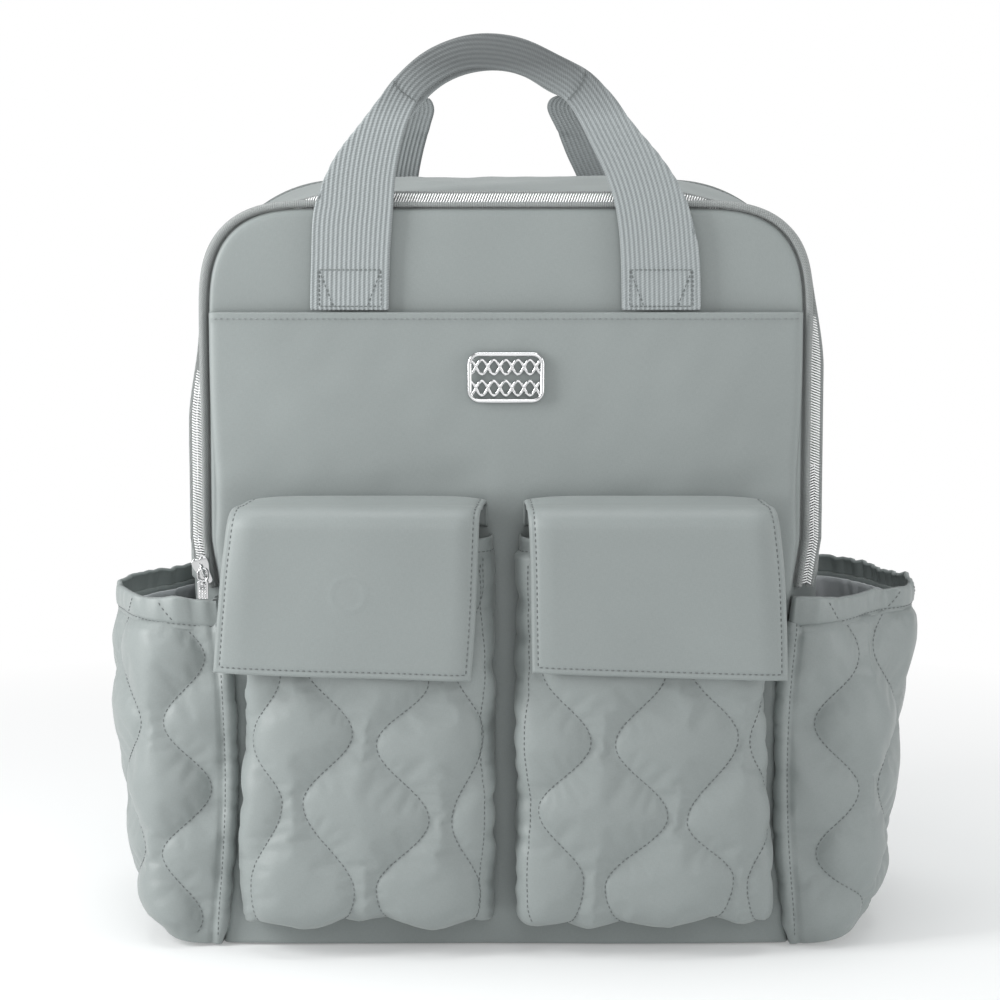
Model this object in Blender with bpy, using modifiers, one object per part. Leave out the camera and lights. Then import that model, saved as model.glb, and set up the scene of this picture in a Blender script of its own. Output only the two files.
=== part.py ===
"""Diaper backpack with a zip-down front, two flapped cargo pockets and two side pockets.

Metres. +X is to the right seen from the front, -Y towards the viewer and +Z up.
The origin is under the middle of the base, on the surface that the bag stands on.
"""
import math

import bmesh
import bpy
from mathutils import Matrix, Vector

# Body: the outline of the front seam, and how far the gusset swells outside it
HALF_W = 0.150
FOOT_HALF_W = 0.146
WAIST_IN = 0.009
WAIST_TOP = 0.210
HEIGHT = 0.377
CORNER_R = 0.058
CORNER_FULLNESS = 0.66  # 1 would be a quarter circle, less is squarer
HALF_D = 0.080
SWELL_MIDDLE = 0.0165
SWELL_BACK = 0.012
TOP_SHARE = 0.80
FABRIC = 0.0025
LINING_T = 0.0012
LINING_IN = 0.0022
GAP = 0.0003
FOOT_Z = 0.0008
BASE_T = 0.003
BOARD_SIZE, BOARD_T = (0.270, 0.140), 0.002

# Layers of the front, as the depth of their outer faces
PANEL_Y = -0.0825
SLIP_Y = -0.0890
SLIP_WALL = 0.0018
SLIP_TOP = 0.3245
SLIP_RIM = 0.004
SLIP_FLOOR = 0.030

# The upper front folds down about this line
LID_Z = 0.247
LID_GAP = 0.0005

# Zip between the upper front and the gusset, as offsets from the front seam
ZIP_FOOT = 0.187
PANEL_EDGE = -0.0030
LID_TAPE = (-0.0026, 0.0022)
LID_TEETH = (0.0026, 0.0049)
GUSSET_TEETH = (0.0054, 0.0078)
GUSSET_EDGE = 0.0081
TEETH_Y = (-0.0825, -0.0803)
SLIDER = Vector((-0.1535, -0.0829, 0.1940))
SLIDER_SIZE = (0.0085, 0.0021, 0.0140)
CROWN_R = 0.0024
CROWN_WIRE = 0.0006
PULL_L = 0.0160
PULL_W = 0.0060
PULL_T = 0.0012
PULL_BAR_Y = -0.0863

# Cargo pockets and their flaps, for the right-hand side
POCKET_X = (0.0065, 0.1285)
POCKET_BACK_Y = -0.0893
POCKET_PUFF = 0.0277
POCKET_FLOOR = 0.022
POCKET_MOUTH = 0.213
FLAP_TOP_X = (0.0090, 0.1270)
FLAP_END_X = (0.0145, 0.1405)
FLAP_HINGE = (-0.0912, 0.2315)
FLAP_FRONT_Y = -0.1236
FLAP_END_Z = 0.146
FLAP_T = 0.0022
FLAP_FOLD_R = 0.012
MAGNET_R = 0.008
MAGNET_T = 0.0015
MAGNET_X = 0.078
MAGNET_Z = 0.188

# Side pockets, for the right-hand side
SIDE_SEAM_OUT = 0.0010
SIDE_FRONT_Y = -0.0918
SIDE_BACK = (0.1660, 0.0790)
SIDE_REACH = 0.2070
SIDE_FOOT_REACH = 0.1900
SIDE_BULGE = 0.0100
SIDE_RIM_Z = 0.176
HEM_H = 0.013
HEM_T = 0.0036
HEM_PROUD = 0.0008
SIDE_LINING = 0.0010

# Organiser pocket inside, on the lining of the back
ORGANISER_HALF_W = 0.105
ORGANISER_Z = (0.060, 0.210)
ORGANISER_BACK_Y = 0.0772
ORGANISER_PUFF = 0.0120

# Carrying handles of folded webbing
WEB_W = 0.038
WEB_T = 0.0024
GRIP_W = 0.0165
GRIP_T = 0.0030
ARCH_Z = 0.347
ARCH_B = 0.109
FRONT_ARCH_A = 0.0785
REAR_ARCH_A = 0.0690
FRONT_BEND = (-0.0841, 0.3901)
REAR_BEND = (0.0876, 0.3955)
BEND_CLEAR = 0.0026

# Back and shoulder straps, for the right-hand side
BACK_Y = (0.0800, 0.0855)
PAD_X, PAD_Z, PAD_T = 0.088, (0.045, 0.305), 0.0090
YOKE_X, YOKE_Z, YOKE_T = 0.118, (0.311, 0.347), 0.0030
STRAP_ROUTE = (
    (0.054, 0.0948, 0.338),
    (0.060, 0.1000, 0.312),
    (0.069, 0.1110, 0.278),
    (0.080, 0.1195, 0.240),
    (0.090, 0.1220, 0.200),
    (0.097, 0.1180, 0.160),
    (0.102, 0.1100, 0.128),
    (0.104, 0.1060, 0.116),
)
STRAP_W = (0.060, 0.044)
STRAP_T = 0.0095
RING_CENTRE = Vector((0.1050, 0.1045, 0.1060))
RING_W, RING_H, RING_WIRE = 0.036, 0.010, 0.0014
TAPE_END = Vector((0.1205, 0.0905, 0.0300))
TAPE_W, TAPE_T = 0.025, 0.0016
TRIGLIDE_W, TRIGLIDE_H, TRIGLIDE_T = 0.032, 0.020, 0.0020
TAB_CORNERS = ((0.098, 0.020), (0.149, 0.006), (0.149, 0.060), (0.132, 0.060))
TAB_T = 0.0024

# Badge: a plain rounded plate on the slip pocket
BADGE_Z = 0.2925
BADGE_W, BADGE_H, BADGE_T = 0.039, 0.0256, 0.0020

# Colour, roughness and metallic value of each material
FINISHES = {
    "shell_fabric": ((0.33, 0.37, 0.365), 0.62, 0.0),
    "quilted_fabric": ((0.33, 0.37, 0.365), 0.60, 0.0),
    "lining_fabric": ((0.60, 0.62, 0.64), 0.75, 0.0),
    "webbing": ((0.42, 0.46, 0.46), 0.80, 0.0),
    "zip_tape": ((0.28, 0.31, 0.31), 0.85, 0.0),
    "zip_metal": ((0.85, 0.86, 0.86), 0.25, 1.0),
    "nickel": ((0.72, 0.73, 0.74), 0.18, 1.0),
    "mesh_fabric": ((0.25, 0.28, 0.28), 0.90, 0.0),
    "board": ((0.45, 0.44, 0.42), 0.70, 0.0),
    "magnet": ((0.35, 0.36, 0.38), 0.35, 1.0),
}

for thing in list(bpy.data.objects):
    bpy.data.objects.remove(thing, do_unlink=True)

PARTS = bpy.data.collections.new("diaper_bag")
CUTTERS = bpy.data.collections.new("cutters")
for group in (PARTS, CUTTERS):
    bpy.context.scene.collection.children.link(group)


# ---------------------------------------------------------------- making things
def finish(name, slot):
    colour, roughness, metallic = FINISHES[slot]
    material = bpy.data.materials.new(f"{name}_{slot}")
    material.use_nodes = True
    shader = material.node_tree.nodes["Principled BSDF"]
    shader.inputs["Base Color"].default_value = (*colour, 1.0)
    shader.inputs["Roughness"].default_value = roughness
    shader.inputs["Metallic"].default_value = metallic
    return material


def add(name, data, slot):
    piece = bpy.data.objects.new(name, data)
    PARTS.objects.link(piece)
    data.materials.append(finish(name, slot))
    return piece


def spread(low, high, count):
    """Evenly spaced numbers from low to high."""
    return [low + (high - low) * i / (count - 1) for i in range(count)]


def blend(t, low, high):
    return low + (high - low) * t


def ease(t):
    t = min(max(t, 0.0), 1.0)
    return t * t * (3 - 2 * t)


def grid(rows):
    """An open surface through rows of equally many points."""
    form = bmesh.new()
    lines = [[form.verts.new(point) for point in row] for row in rows]
    for low, high in zip(lines, lines[1:]):
        for a, b, c, d in zip(low, low[1:], high[1:], high):
            form.faces.new((a, b, c, d))
    mesh = bpy.data.meshes.new("surface")
    form.to_mesh(mesh)
    form.free()
    return mesh


def shell(name, slot, rows, thickness):
    """A sewn panel: its outer surface, thickened to the side that its faces look away from."""
    piece = add(name, grid(rows), slot)
    wall = piece.modifiers.new("thickness", "SOLIDIFY")
    wall.thickness = thickness
    wall.offset = -1.0
    wall.use_even_offset = True
    return piece


def loft_mesh(rings):
    """A closed solid through equal rings, with flat ends."""
    form = bmesh.new()
    lines = [[form.verts.new(point) for point in ring] for ring in rings]
    for low, high in zip(lines, lines[1:]):
        for i in range(len(low)):
            j = (i + 1) % len(low)
            form.faces.new((low[i], low[j], high[j], high[i]))
    form.faces.new(lines[0])
    form.faces.new(lines[-1])
    bmesh.ops.recalc_face_normals(form, faces=form.faces)
    mesh = bpy.data.meshes.new("loft")
    form.to_mesh(mesh)
    form.free()
    return mesh


def flat(name, slot, outline, low, high, holes=(), level=False):
    """Sheet cut to an outline: upright between two depths, or level between two heights."""
    curve = bpy.data.curves.new(name, "CURVE")
    curve.dimensions = "2D"
    curve.fill_mode = "BOTH"
    curve.extrude = (high - low) / 2
    for loop in (outline, *holes):
        spline = curve.splines.new("POLY")
        spline.points.add(len(loop) - 1)
        for point, (across, up) in zip(spline.points, loop):
            point.co = (across, up, 0, 1)
        spline.use_cyclic_u = True
    piece = add(name, curve, slot)
    middle = (low + high) / 2
    piece.location = (0, 0, middle) if level else (0, middle, 0)
    piece.rotation_euler = (0, 0, 0) if level else (math.pi / 2, 0, 0)
    return piece


def as_mesh(piece):
    """The same piece as a welded mesh, so that it can be cut."""
    name, slot = piece.name, piece.data.materials[0].name.split(f"{piece.name}_")[1]
    bpy.context.view_layer.update()
    graph = bpy.context.evaluated_depsgraph_get()
    mesh = bpy.data.meshes.new_from_object(piece.evaluated_get(graph))
    place = piece.matrix_world.copy()
    bpy.data.objects.remove(piece, do_unlink=True)
    form = bmesh.new()
    form.from_mesh(mesh)
    bmesh.ops.remove_doubles(form, verts=form.verts, dist=0.00001)
    bmesh.ops.recalc_face_normals(form, faces=form.faces)
    form.to_mesh(mesh)
    form.free()
    mesh.materials.clear()
    solid = add(name, mesh, slot)
    solid.matrix_world = place
    return solid


def cutter(name, mesh):
    tool = bpy.data.objects.new(name, mesh)
    CUTTERS.objects.link(tool)
    tool.hide_render = True
    tool.display_type = "WIRE"
    return tool


def cut(piece, tool):
    boolean = piece.modifiers.new(f"cut_{tool.name}", "BOOLEAN")
    boolean.operation = "DIFFERENCE"
    boolean.solver = "EXACT"
    boolean.object = tool


def box_mesh(low, high):
    form = bmesh.new()
    bmesh.ops.create_cube(form, size=1.0)
    low, high = Vector(low), Vector(high)
    size = high - low
    bmesh.ops.transform(
        form,
        matrix=Matrix.Translation((low + high) / 2) @ Matrix.Diagonal((*size, 1.0)),
        verts=form.verts,
    )
    mesh = bpy.data.meshes.new("box")
    form.to_mesh(mesh)
    form.free()
    return mesh


def box(name, slot, low, high, bevel=0.0):
    piece = add(name, box_mesh(low, high), slot)
    if bevel:
        edge = piece.modifiers.new("edge", "BEVEL")
        edge.width = bevel
        edge.segments = 2
    return piece


def rounded_rectangle(width, height, radius, centre=(0, 0), steps=3):
    corners = []
    for quarter in range(4):
        turn = quarter * math.pi / 2
        across = (width / 2 - radius) * (1 if quarter in (0, 3) else -1)
        up = (height / 2 - radius) * (1 if quarter in (0, 1) else -1)
        for i in range(steps + 1):
            angle = turn + i * math.pi / 2 / steps
            x = centre[0] + across + radius * math.cos(angle)
            corners.append((x, centre[1] + up + radius * math.sin(angle)))
    return corners


def wire(name, slot, points, radius, cyclic=False):
    """Round wire through points."""
    curve = bpy.data.curves.new(name, "CURVE")
    curve.dimensions = "3D"
    curve.bevel_depth = radius
    curve.bevel_resolution = 2
    curve.use_fill_caps = True
    spline = curve.splines.new("POLY")
    spline.points.add(len(points) - 1)
    for point, place in zip(spline.points, points):
        point.co = (*place, 1)
    spline.use_cyclic_u = cyclic
    return add(name, curve, slot)


def band_ring(place, along, across, width, thickness):
    """An eight-sided cross-section of a strap, square to its run."""
    normal = along.cross(across).normalized()
    side = normal.cross(along).normalized()
    edge = 0.3 * thickness
    corners = rounded_rectangle(width, thickness, edge, steps=1)
    return [place + side * a + normal * b for a, b in corners]


def band(name, slot, route, widths, thickness):
    """A strap of changing width that follows a route, flat to the bag's back."""
    route = [Vector(place) for place in route]
    rings = []
    for i, place in enumerate(route):
        along = (route[min(i + 1, len(route) - 1)] - route[max(i - 1, 0)]).normalized()
        width = blend(i / (len(route) - 1), *widths)
        rings.append(band_ring(place, along, Vector((1, 0, 0)), width, thickness))
    return add(name, loft_mesh(rings), slot)


def mirrored(points, sign):
    """Right-hand points for sign 1, and their mirror images in reverse order for -1."""
    moved = [(sign * point[0], *point[1:]) for point in points]
    return moved if sign > 0 else moved[::-1]


SIDES = (("left", -1), ("right", 1))


# ---------------------------------------------------------------- outline of the body
def half_width(z):
    """Half width of the front seam, drawn in at the waist beside the side pockets."""
    if z >= WAIST_TOP:
        return HALF_W
    t = z / WAIST_TOP
    return blend(t, FOOT_HALF_W, HALF_W) - WAIST_IN * math.sin(math.pi * t)


def arch(offset, foot, steps=8):
    """The outline offset outwards, and less so at the top, from foot to foot over the top."""
    spring = HEIGHT - CORNER_R
    count = max(2, math.ceil((spring - foot) / 0.025))
    right = [(half_width(z) + offset, z) for z in spread(foot, spring, count)]
    for i in range(1, steps + 1):
        angle = i * math.pi / 2 / steps
        across, up = math.cos(angle) ** CORNER_FULLNESS, math.sin(angle) ** CORNER_FULLNESS
        x = HALF_W - CORNER_R + (CORNER_R + offset) * across
        right.append((x, spring + (CORNER_R + TOP_SHARE * offset) * up))
    return [(-x, z) for x, z in right] + right[::-1]


def swell(y, front):
    """How far the gusset stands outside the front seam at depth y."""
    t = y / HALF_D
    lean = (SWELL_BACK - front) / 2
    crown = (SWELL_BACK + front) / 2 - SWELL_MIDDLE
    return SWELL_MIDDLE + lean * t + crown * t * t


def zip_band(name, slot, offsets, depths, foot):
    inner, outer = arch(offsets[0], foot), arch(offsets[1], foot)
    return flat(name, slot, outer + inner[::-1], *depths)


# ---------------------------------------------------------------- body
def base():
    depths = spread(-HALF_D + GAP, HALF_D - GAP, 9)
    right = [(half_width(0) + swell(y, 0), y) for y in depths]
    left = [(-x, y) for x, y in right[::-1]]
    flat("base_panel", "shell_fabric", right + left, 0, BASE_T, level=True)
    board = rounded_rectangle(*BOARD_SIZE, 0.010)
    foot = BASE_T + 2 * GAP
    flat("base_board", "board", board, foot, foot + BOARD_T, level=True)


def gussets():
    depths = spread(-HALF_D + 0.0013, HALF_D - GAP, 7)
    rows = []
    for y in depths:
        rows.append([(x, y, z) for x, z in arch(swell(y, GUSSET_EDGE), ZIP_FOOT)])
    shell("upper_gusset", "shell_fabric", rows, FABRIC)
    heights = spread(0.0034, ZIP_FOOT - GAP, 9)
    depths = spread(-HALF_D + GAP, HALF_D - GAP, 7)
    for side, sign in SIDES:
        rows = []
        for z in heights:
            row = [(half_width(z) + swell(y, 0), y, z) for y in depths]
            rows.append(mirrored(row, sign))
        shell(f"side_gusset_{side}", "shell_fabric", rows, FABRIC)


def lining():
    """A thin inner bag, open at the front above the fold line."""
    outer, inner = [], []
    for y in spread(-0.0783, 0.0787, 7):
        outer.append([(x, y, z) for x, z in arch(swell(y, 0) - FABRIC - LINING_IN, 0.0062)])
    for y in spread(-0.0771, 0.0775, 7):
        hollow = swell(y, 0) - FABRIC - LINING_IN - LINING_T
        inner.append([(x, y, z) for x, z in arch(hollow, 0.0062 + LINING_T)])
    bag = add("main_lining", loft_mesh(outer), "lining_fabric")
    cut(bag, cutter("lining_hollow", loft_mesh(inner)))
    mouth = box_mesh((-0.2, -0.1, LID_Z), (0.2, -0.0768, 0.45))
    cut(bag, cutter("lining_mouth", mouth))


def front_lower():
    """The fixed front, which gives way to the zip's tape above the zip's foot."""
    edge = [(half_width(z), z) for z in spread(FOOT_Z, ZIP_FOOT - GAP, 9)]
    edge += [(half_width(z) + PANEL_EDGE, z) for z in lower_zip_heights(-GAP)]
    outline = edge + [(-x, z) for x, z in edge[::-1]]
    flat("front_lower_panel", "shell_fabric", outline, PANEL_Y, -HALF_D)
    slip = as_mesh(flat("slip_pocket_lower", "shell_fabric", outline, SLIP_Y, PANEL_Y - GAP))
    reach = half_width(WAIST_TOP / 2) - SLIP_RIM - 0.006
    hollow = box_mesh((-reach, SLIP_Y + SLIP_WALL, SLIP_FLOOR), (reach, -HALF_D, LID_Z + 0.01))
    cut(slip, cutter("slip_lower_hollow", hollow))


def lower_zip_heights(drop=0.0):
    """Heights along the zip below the fold line, the first one lowered by drop."""
    heights = spread(ZIP_FOOT, LID_Z - LID_GAP, 4)
    return [heights[0] + drop, *heights[1:]]


def front_upper():
    outline = arch(PANEL_EDGE, LID_Z + LID_GAP)
    flat("front_upper_panel", "shell_fabric", outline, PANEL_Y, -HALF_D)
    lining_edge = arch(PANEL_EDGE - 0.003, LID_Z + LID_GAP)
    flat("lid_lining", "lining_fabric", lining_edge, -HALF_D + GAP, -HALF_D + 0.0013)
    reach = HALF_W + PANEL_EDGE
    foot = LID_Z + LID_GAP
    wide = [(-reach, foot), (-reach, SLIP_TOP), (reach, SLIP_TOP), (reach, foot)]
    slip = as_mesh(flat("slip_pocket_upper", "shell_fabric", wide, SLIP_Y, PANEL_Y - GAP))
    hollow = box_mesh(
        (-reach + SLIP_RIM, SLIP_Y + SLIP_WALL, LID_Z - 0.01),
        (reach - SLIP_RIM, -HALF_D, SLIP_TOP + 0.01),
    )
    cut(slip, cutter("slip_upper_hollow", hollow))


def zip_parts():
    foot = LID_Z + LID_GAP
    zip_band("zip_tape_lid", "zip_tape", LID_TAPE, (-0.0815, TEETH_Y[1]), foot)
    zip_band("zip_teeth_lid", "zip_metal", LID_TEETH, TEETH_Y, foot)
    zip_band("zip_teeth_gusset", "zip_metal", GUSSET_TEETH, TEETH_Y, ZIP_FOOT)
    zip_band("zip_tape_gusset", "zip_tape", GUSSET_TEETH, (-0.0799, -0.0790), ZIP_FOOT)
    for side, sign in SIDES:
        heights = lower_zip_heights()
        inner = [(half_width(z) + LID_TAPE[0], z) for z in heights]
        outer = [(half_width(z) + LID_TEETH[1], z) for z in heights[::-1]]
        outline = [(sign * x, z) for x, z in inner + outer]
        flat(f"zip_tape_lower_{side}", "zip_tape", outline, -0.0815, TEETH_Y[1])


def slider():
    """Slider body with a wire crown, and the pull whose top bar runs through the crown."""
    across, deep, tall = SLIDER_SIZE
    low = SLIDER - Vector((across / 2, deep, tall / 2))
    high = SLIDER + Vector((across / 2, 0, tall / 2))
    body = box("zip_slider", "nickel", low, high, bevel=0.0006)
    face = SLIDER.y - deep
    hoop = []
    for i in range(9):
        angle = math.pi * i / 8
        reach = 0.0004 - 1.5 * CROWN_R * math.sin(angle)
        hoop.append((SLIDER.x, face + reach, SLIDER.z + CROWN_R * math.cos(angle)))
    crown = as_mesh(wire("zip_crown", "nickel", hoop, CROWN_WIRE))
    PARTS.objects.unlink(crown)
    CUTTERS.objects.link(crown)
    crown.hide_render = True
    crown.display_type = "WIRE"
    join = body.modifiers.new("crown", "BOOLEAN")
    join.operation = "UNION"
    join.solver = "EXACT"
    join.object = crown

    axis = Vector((SLIDER.x, PULL_BAR_Y, SLIDER.z))
    outline = rounded_rectangle(PULL_W, PULL_L, 0.0018, (0, PULL_T / 2 - PULL_L / 2))
    slot = rounded_rectangle(PULL_W - 0.0024, 0.0052, 0.0008, (0, -0.0026 - PULL_T / 2))
    pull = flat("zip_pull", "nickel", outline, -PULL_T / 2, PULL_T / 2, holes=[slot])
    pull.location = axis


# ---------------------------------------------------------------- pockets
def cargo_wall(theta, z):
    """A point of a right-hand cargo pocket's outer face, round from its inner edge."""
    level = ease((z - POCKET_FLOOR) / 0.030)
    slack = 1 - 0.10 * ease((z - 0.14) / (POCKET_MOUTH - 0.14))
    middle, reach = sum(POCKET_X) / 2, (POCKET_X[1] - POCKET_X[0]) / 2
    around = math.copysign(abs(math.cos(theta)) ** 0.35, math.cos(theta))
    x = middle - (reach - 0.003 * (1 - level)) * around
    puff = POCKET_PUFF * slack * blend(level, 0.72, 1.0)
    return (x, POCKET_BACK_Y - puff * math.sin(theta) ** 0.4, z)


def cargo_pockets():
    angles = spread(0, math.pi, 17)
    levels = [POCKET_FLOOR, 0.030, 0.045, 0.080, 0.120, 0.160, POCKET_MOUTH]
    for side, sign in SIDES:
        rows = [[cargo_wall(theta, z) for theta in angles] for z in levels]
        floor = [(x, POCKET_BACK_Y, z) for x, _, z in rows[0]]
        halfway = [(x, (y + POCKET_BACK_Y) / 2, z - 0.001) for x, y, z in rows[0]]
        rows = [mirrored(row, sign) for row in (floor, halfway, *rows)]
        # the two rows that make the floor share their end points with the wall
        piece = shell(f"cargo_pocket_{side}", "quilted_fabric", rows, FABRIC)
        weld_ends(piece)
        disc = [(sign * x, z) for x, z in circle(MAGNET_X, MAGNET_Z, MAGNET_R)]
        inside = POCKET_BACK_Y - POCKET_PUFF * 0.9 + FABRIC + 0.0012
        flat(f"pocket_magnet_{side}", "magnet", disc, inside, inside + MAGNET_T)


def weld_ends(piece):
    """Joins points of a surface that lie in one place, where a floor runs out at the seam."""
    form = bmesh.new()
    form.from_mesh(piece.data)
    bmesh.ops.remove_doubles(form, verts=form.verts, dist=0.00001)
    bmesh.ops.dissolve_degenerate(form, edges=form.edges, dist=0.00001)
    form.to_mesh(piece.data)
    form.free()


def circle(x, z, radius, steps=20):
    turns = [2 * math.pi * i / steps for i in range(steps)]
    return [(x + radius * math.cos(a), z + radius * math.sin(a)) for a in turns]


def flap_profile():
    """Outer face of a flap from its seam forwards, over the fold and down to its edge."""
    y, z = FLAP_HINGE[0], FLAP_HINGE[1] + FLAP_T / 2
    profile = [(y, z), (blend(0.5, y, FLAP_FRONT_Y + FLAP_FOLD_R), z - 0.0008)]
    centre = (FLAP_FRONT_Y + FLAP_FOLD_R, z - 0.0025 - FLAP_FOLD_R)
    for i in range(5):
        angle = math.pi / 2 + math.pi / 2 * i / 4
        depth = centre[0] + FLAP_FOLD_R * math.cos(angle)
        profile.append((depth, centre[1] + FLAP_FOLD_R * math.sin(angle)))
    profile += [(FLAP_FRONT_Y, height) for height in (0.200, 0.172, 0.150, FLAP_END_Z)]
    return profile


def flaps():
    profile = flap_profile()
    for side, sign in SIDES:
        rows = []
        for y, z in profile:
            t = ease((FLAP_HINGE[1] - z) / (FLAP_HINGE[1] - FLAP_END_Z))
            inner = blend(t, FLAP_TOP_X[0], FLAP_END_X[0])
            outer = blend(t, FLAP_TOP_X[1], FLAP_END_X[1])
            trim = 0.004 if z == FLAP_END_Z else 0.0
            row = [(x, y, z) for x in spread(inner + trim, outer - trim, 5)]
            rows.append(mirrored(row, sign)[::-1])
        shell(f"flap_{side}", "shell_fabric", rows, FLAP_T)
        disc = [(sign * x, z) for x, z in circle(MAGNET_X, MAGNET_Z, MAGNET_R)]
        inside = FLAP_FRONT_Y + FLAP_T + GAP
        flat(f"flap_magnet_{side}", "magnet", disc, inside, inside + MAGNET_T)


def side_wall(theta, z, inset=0.0):
    """A point of a right-hand side pocket's wall, round from its front seam to its back seam."""
    turn = theta / math.pi
    rise = ease(z / 0.05) ** 0.5
    reach = blend(ease(z / SIDE_RIM_Z), SIDE_FOOT_REACH, SIDE_REACH) - 0.010 * (1 - rise) - inset
    start = blend(turn, half_width(z) + SIDE_SEAM_OUT, SIDE_BACK[0])
    x = start + (reach - start) * math.sin(theta) ** 0.75
    front, back = SIDE_FRONT_Y + inset, SIDE_BACK[1] - inset
    y = blend((1 - math.cos(theta)) / 2, front, back)
    if theta < math.pi / 2:
        y -= SIDE_BULGE * math.sin(2 * theta)
    return (x, y, z)


def side_pockets():
    angles = spread(0, math.pi, 19)
    inner_angles = spread(0.30, math.pi - 0.12, 17)
    wall_top = SIDE_RIM_Z - HEM_H - GAP
    levels = [0.004, 0.012, 0.025, 0.050, 0.090, 0.130, wall_top]
    for side, sign in SIDES:
        wall = [[side_wall(theta, z) for theta in angles] for z in levels]
        floor = []
        for x, y, _ in wall[0]:
            y = min(max(y, 0.0005 - HALF_D), HALF_D - 0.001)
            floor.append((min(half_width(0) + swell(y, 0) + 0.0008, x), y, 0.0015))
        edge = []
        for (x, y, _), (a, b, _) in zip(wall[0], floor):
            edge.append((blend(0.12, x, a), blend(0.12, y, b), 0.0015))
        rows = [mirrored(row, sign) for row in (floor, edge, *wall)]
        shell(f"side_pocket_{side}", "quilted_fabric", rows, FABRIC)
        hem = []
        for z in (wall_top + GAP, SIDE_RIM_Z):
            hem.append(mirrored([side_wall(theta, z, -HEM_PROUD) for theta in angles], sign))
        shell(f"side_pocket_hem_{side}", "quilted_fabric", hem, HEM_T)
        inset = FABRIC + 0.0016
        rows = []
        for z in spread(0.008, wall_top, 6):
            rows.append(mirrored([side_wall(theta, z, inset) for theta in inner_angles], sign))
        shell(f"side_pocket_lining_{side}", "lining_fabric", rows, SIDE_LINING)


def inner_pocket():
    """A flat organiser pocket on the lining of the back."""
    rows = []
    for z in spread(*ORGANISER_Z, 4):
        row = []
        for theta in spread(0, math.pi, 13):
            around = math.copysign(abs(math.cos(theta)) ** 0.3, math.cos(theta))
            y = ORGANISER_BACK_Y - ORGANISER_PUFF * math.sin(theta) ** 0.4
            row.append((-ORGANISER_HALF_W * around, y, z))
        rows.append(row)
    floor = [(x, ORGANISER_BACK_Y, z) for x, _, z in rows[0]]
    halfway = [(x, (y + ORGANISER_BACK_Y) / 2, z - 0.001) for x, y, z in rows[0]]
    weld_ends(shell("inner_pocket", "lining_fabric", [floor, halfway, *rows], LINING_T))


# ---------------------------------------------------------------- handles, badge
def web_width(z):
    return blend(ease((z - 0.384) / 0.050), WEB_W, GRIP_W)


def handle(name, arch_a, bend):
    """Flat webbing that leans in from two legs and is folded in half at the grip."""
    foot = bend[1] + 0.0006
    first = math.asin((foot - ARCH_Z) / ARCH_B)
    angles = spread(first, math.pi - first, 25)
    outer, inner = [], []
    for angle in angles:
        place = Vector((arch_a * math.cos(angle), ARCH_Z + ARCH_B * math.sin(angle)))
        out = Vector((math.cos(angle) / arch_a, math.sin(angle) / ARCH_B)).normalized()
        half = web_width(place.y) / 2
        outer.append(place + out * half)
        inner.append(place - out * half)
    for line in (outer, inner):
        line[0].y = line[-1].y = foot
    outline = [tuple(point) for point in outer + inner[::-1]]
    flat(name, "webbing", outline, bend[0] - GRIP_T / 2, bend[0] + GRIP_T / 2)


def handle_anchors(name, arch_a, bend, foot, depth):
    lean = arch_a * math.cos(math.asin((bend[1] - ARCH_Z) / ARCH_B))
    for side, sign in SIDES:
        top = bend[1] - BEND_CLEAR
        outline = [
            (arch_a - WEB_W / 2, foot),
            (arch_a + WEB_W / 2, foot),
            (lean + WEB_W / 2, top),
            (lean - WEB_W / 2, top),
        ]
        outline = [(sign * x, z) for x, z in outline]
        flat(f"{name}_{side}", "webbing", outline, depth, depth + WEB_T)


def badge():
    plate = rounded_rectangle(BADGE_W, BADGE_H, 0.004, (0, BADGE_Z))
    flat("badge", "nickel", plate, SLIP_Y - GAP - BADGE_T, SLIP_Y - GAP)
    inside = SLIP_Y + SLIP_WALL + GAP
    flat("badge_backing_plate", "nickel", plate, inside, inside + 0.0008)


# ---------------------------------------------------------------- back
def back():
    flat("back_panel", "shell_fabric", arch(SWELL_BACK - 0.0005, FOOT_Z), *BACK_Y)
    face = BACK_Y[1] + GAP
    low, high = (-PAD_X, face, PAD_Z[0]), (PAD_X, face + PAD_T, PAD_Z[1])
    box("back_mesh_pad", "mesh_fabric", low, high, bevel=0.004)
    low, high = (-YOKE_X, face, YOKE_Z[0]), (YOKE_X, face + YOKE_T, YOKE_Z[1])
    box("strap_yoke", "shell_fabric", low, high)
    handle_anchors("rear_handle_anchor", REAR_ARCH_A, REAR_BEND, YOKE_Z[1] + 0.003, face + GAP)


def straps():
    tape_top = RING_CENTRE - Vector((0, 0, RING_H / 2 + 0.0050))
    for side, sign in SIDES:
        flip = Vector((sign, 1, 1))
        route = [Vector(place) * flip for place in STRAP_ROUTE]
        band(f"strap_pad_{side}", "shell_fabric", route, STRAP_W, STRAP_T)
        corners = [(-1, 1), (1, 1), (1, -1), (-1, -1)]
        loop = [(RING_W / 2 * a, 0, RING_H / 2 * b) for a, b in corners]
        ring = wire(f"strap_ring_{side}", "nickel", loop, RING_WIRE, cyclic=True)
        ring.location = RING_CENTRE * flip
        tape = [TAPE_END * flip, tape_top * flip]
        band(f"strap_webbing_{side}", "webbing", tape, (TAPE_W, TAPE_W), TAPE_T)
        face = BACK_Y[1] + GAP
        tab = [(sign * x, z) for x, z in TAB_CORNERS]
        flat(f"strap_anchor_tab_{side}", "shell_fabric", tab, face, face + TAB_T)
        frame = rounded_rectangle(TRIGLIDE_W, TRIGLIDE_H, 0.003)
        slots = [rounded_rectangle(0.026, 0.0055, 0.001, (0, up)) for up in (-0.0045, 0.0045)]
        half = TRIGLIDE_T / 2
        glide = flat(f"triglide_{side}", "nickel", frame, -half, half, holes=slots)
        place_triglide(glide, sign, tape_top)


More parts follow.
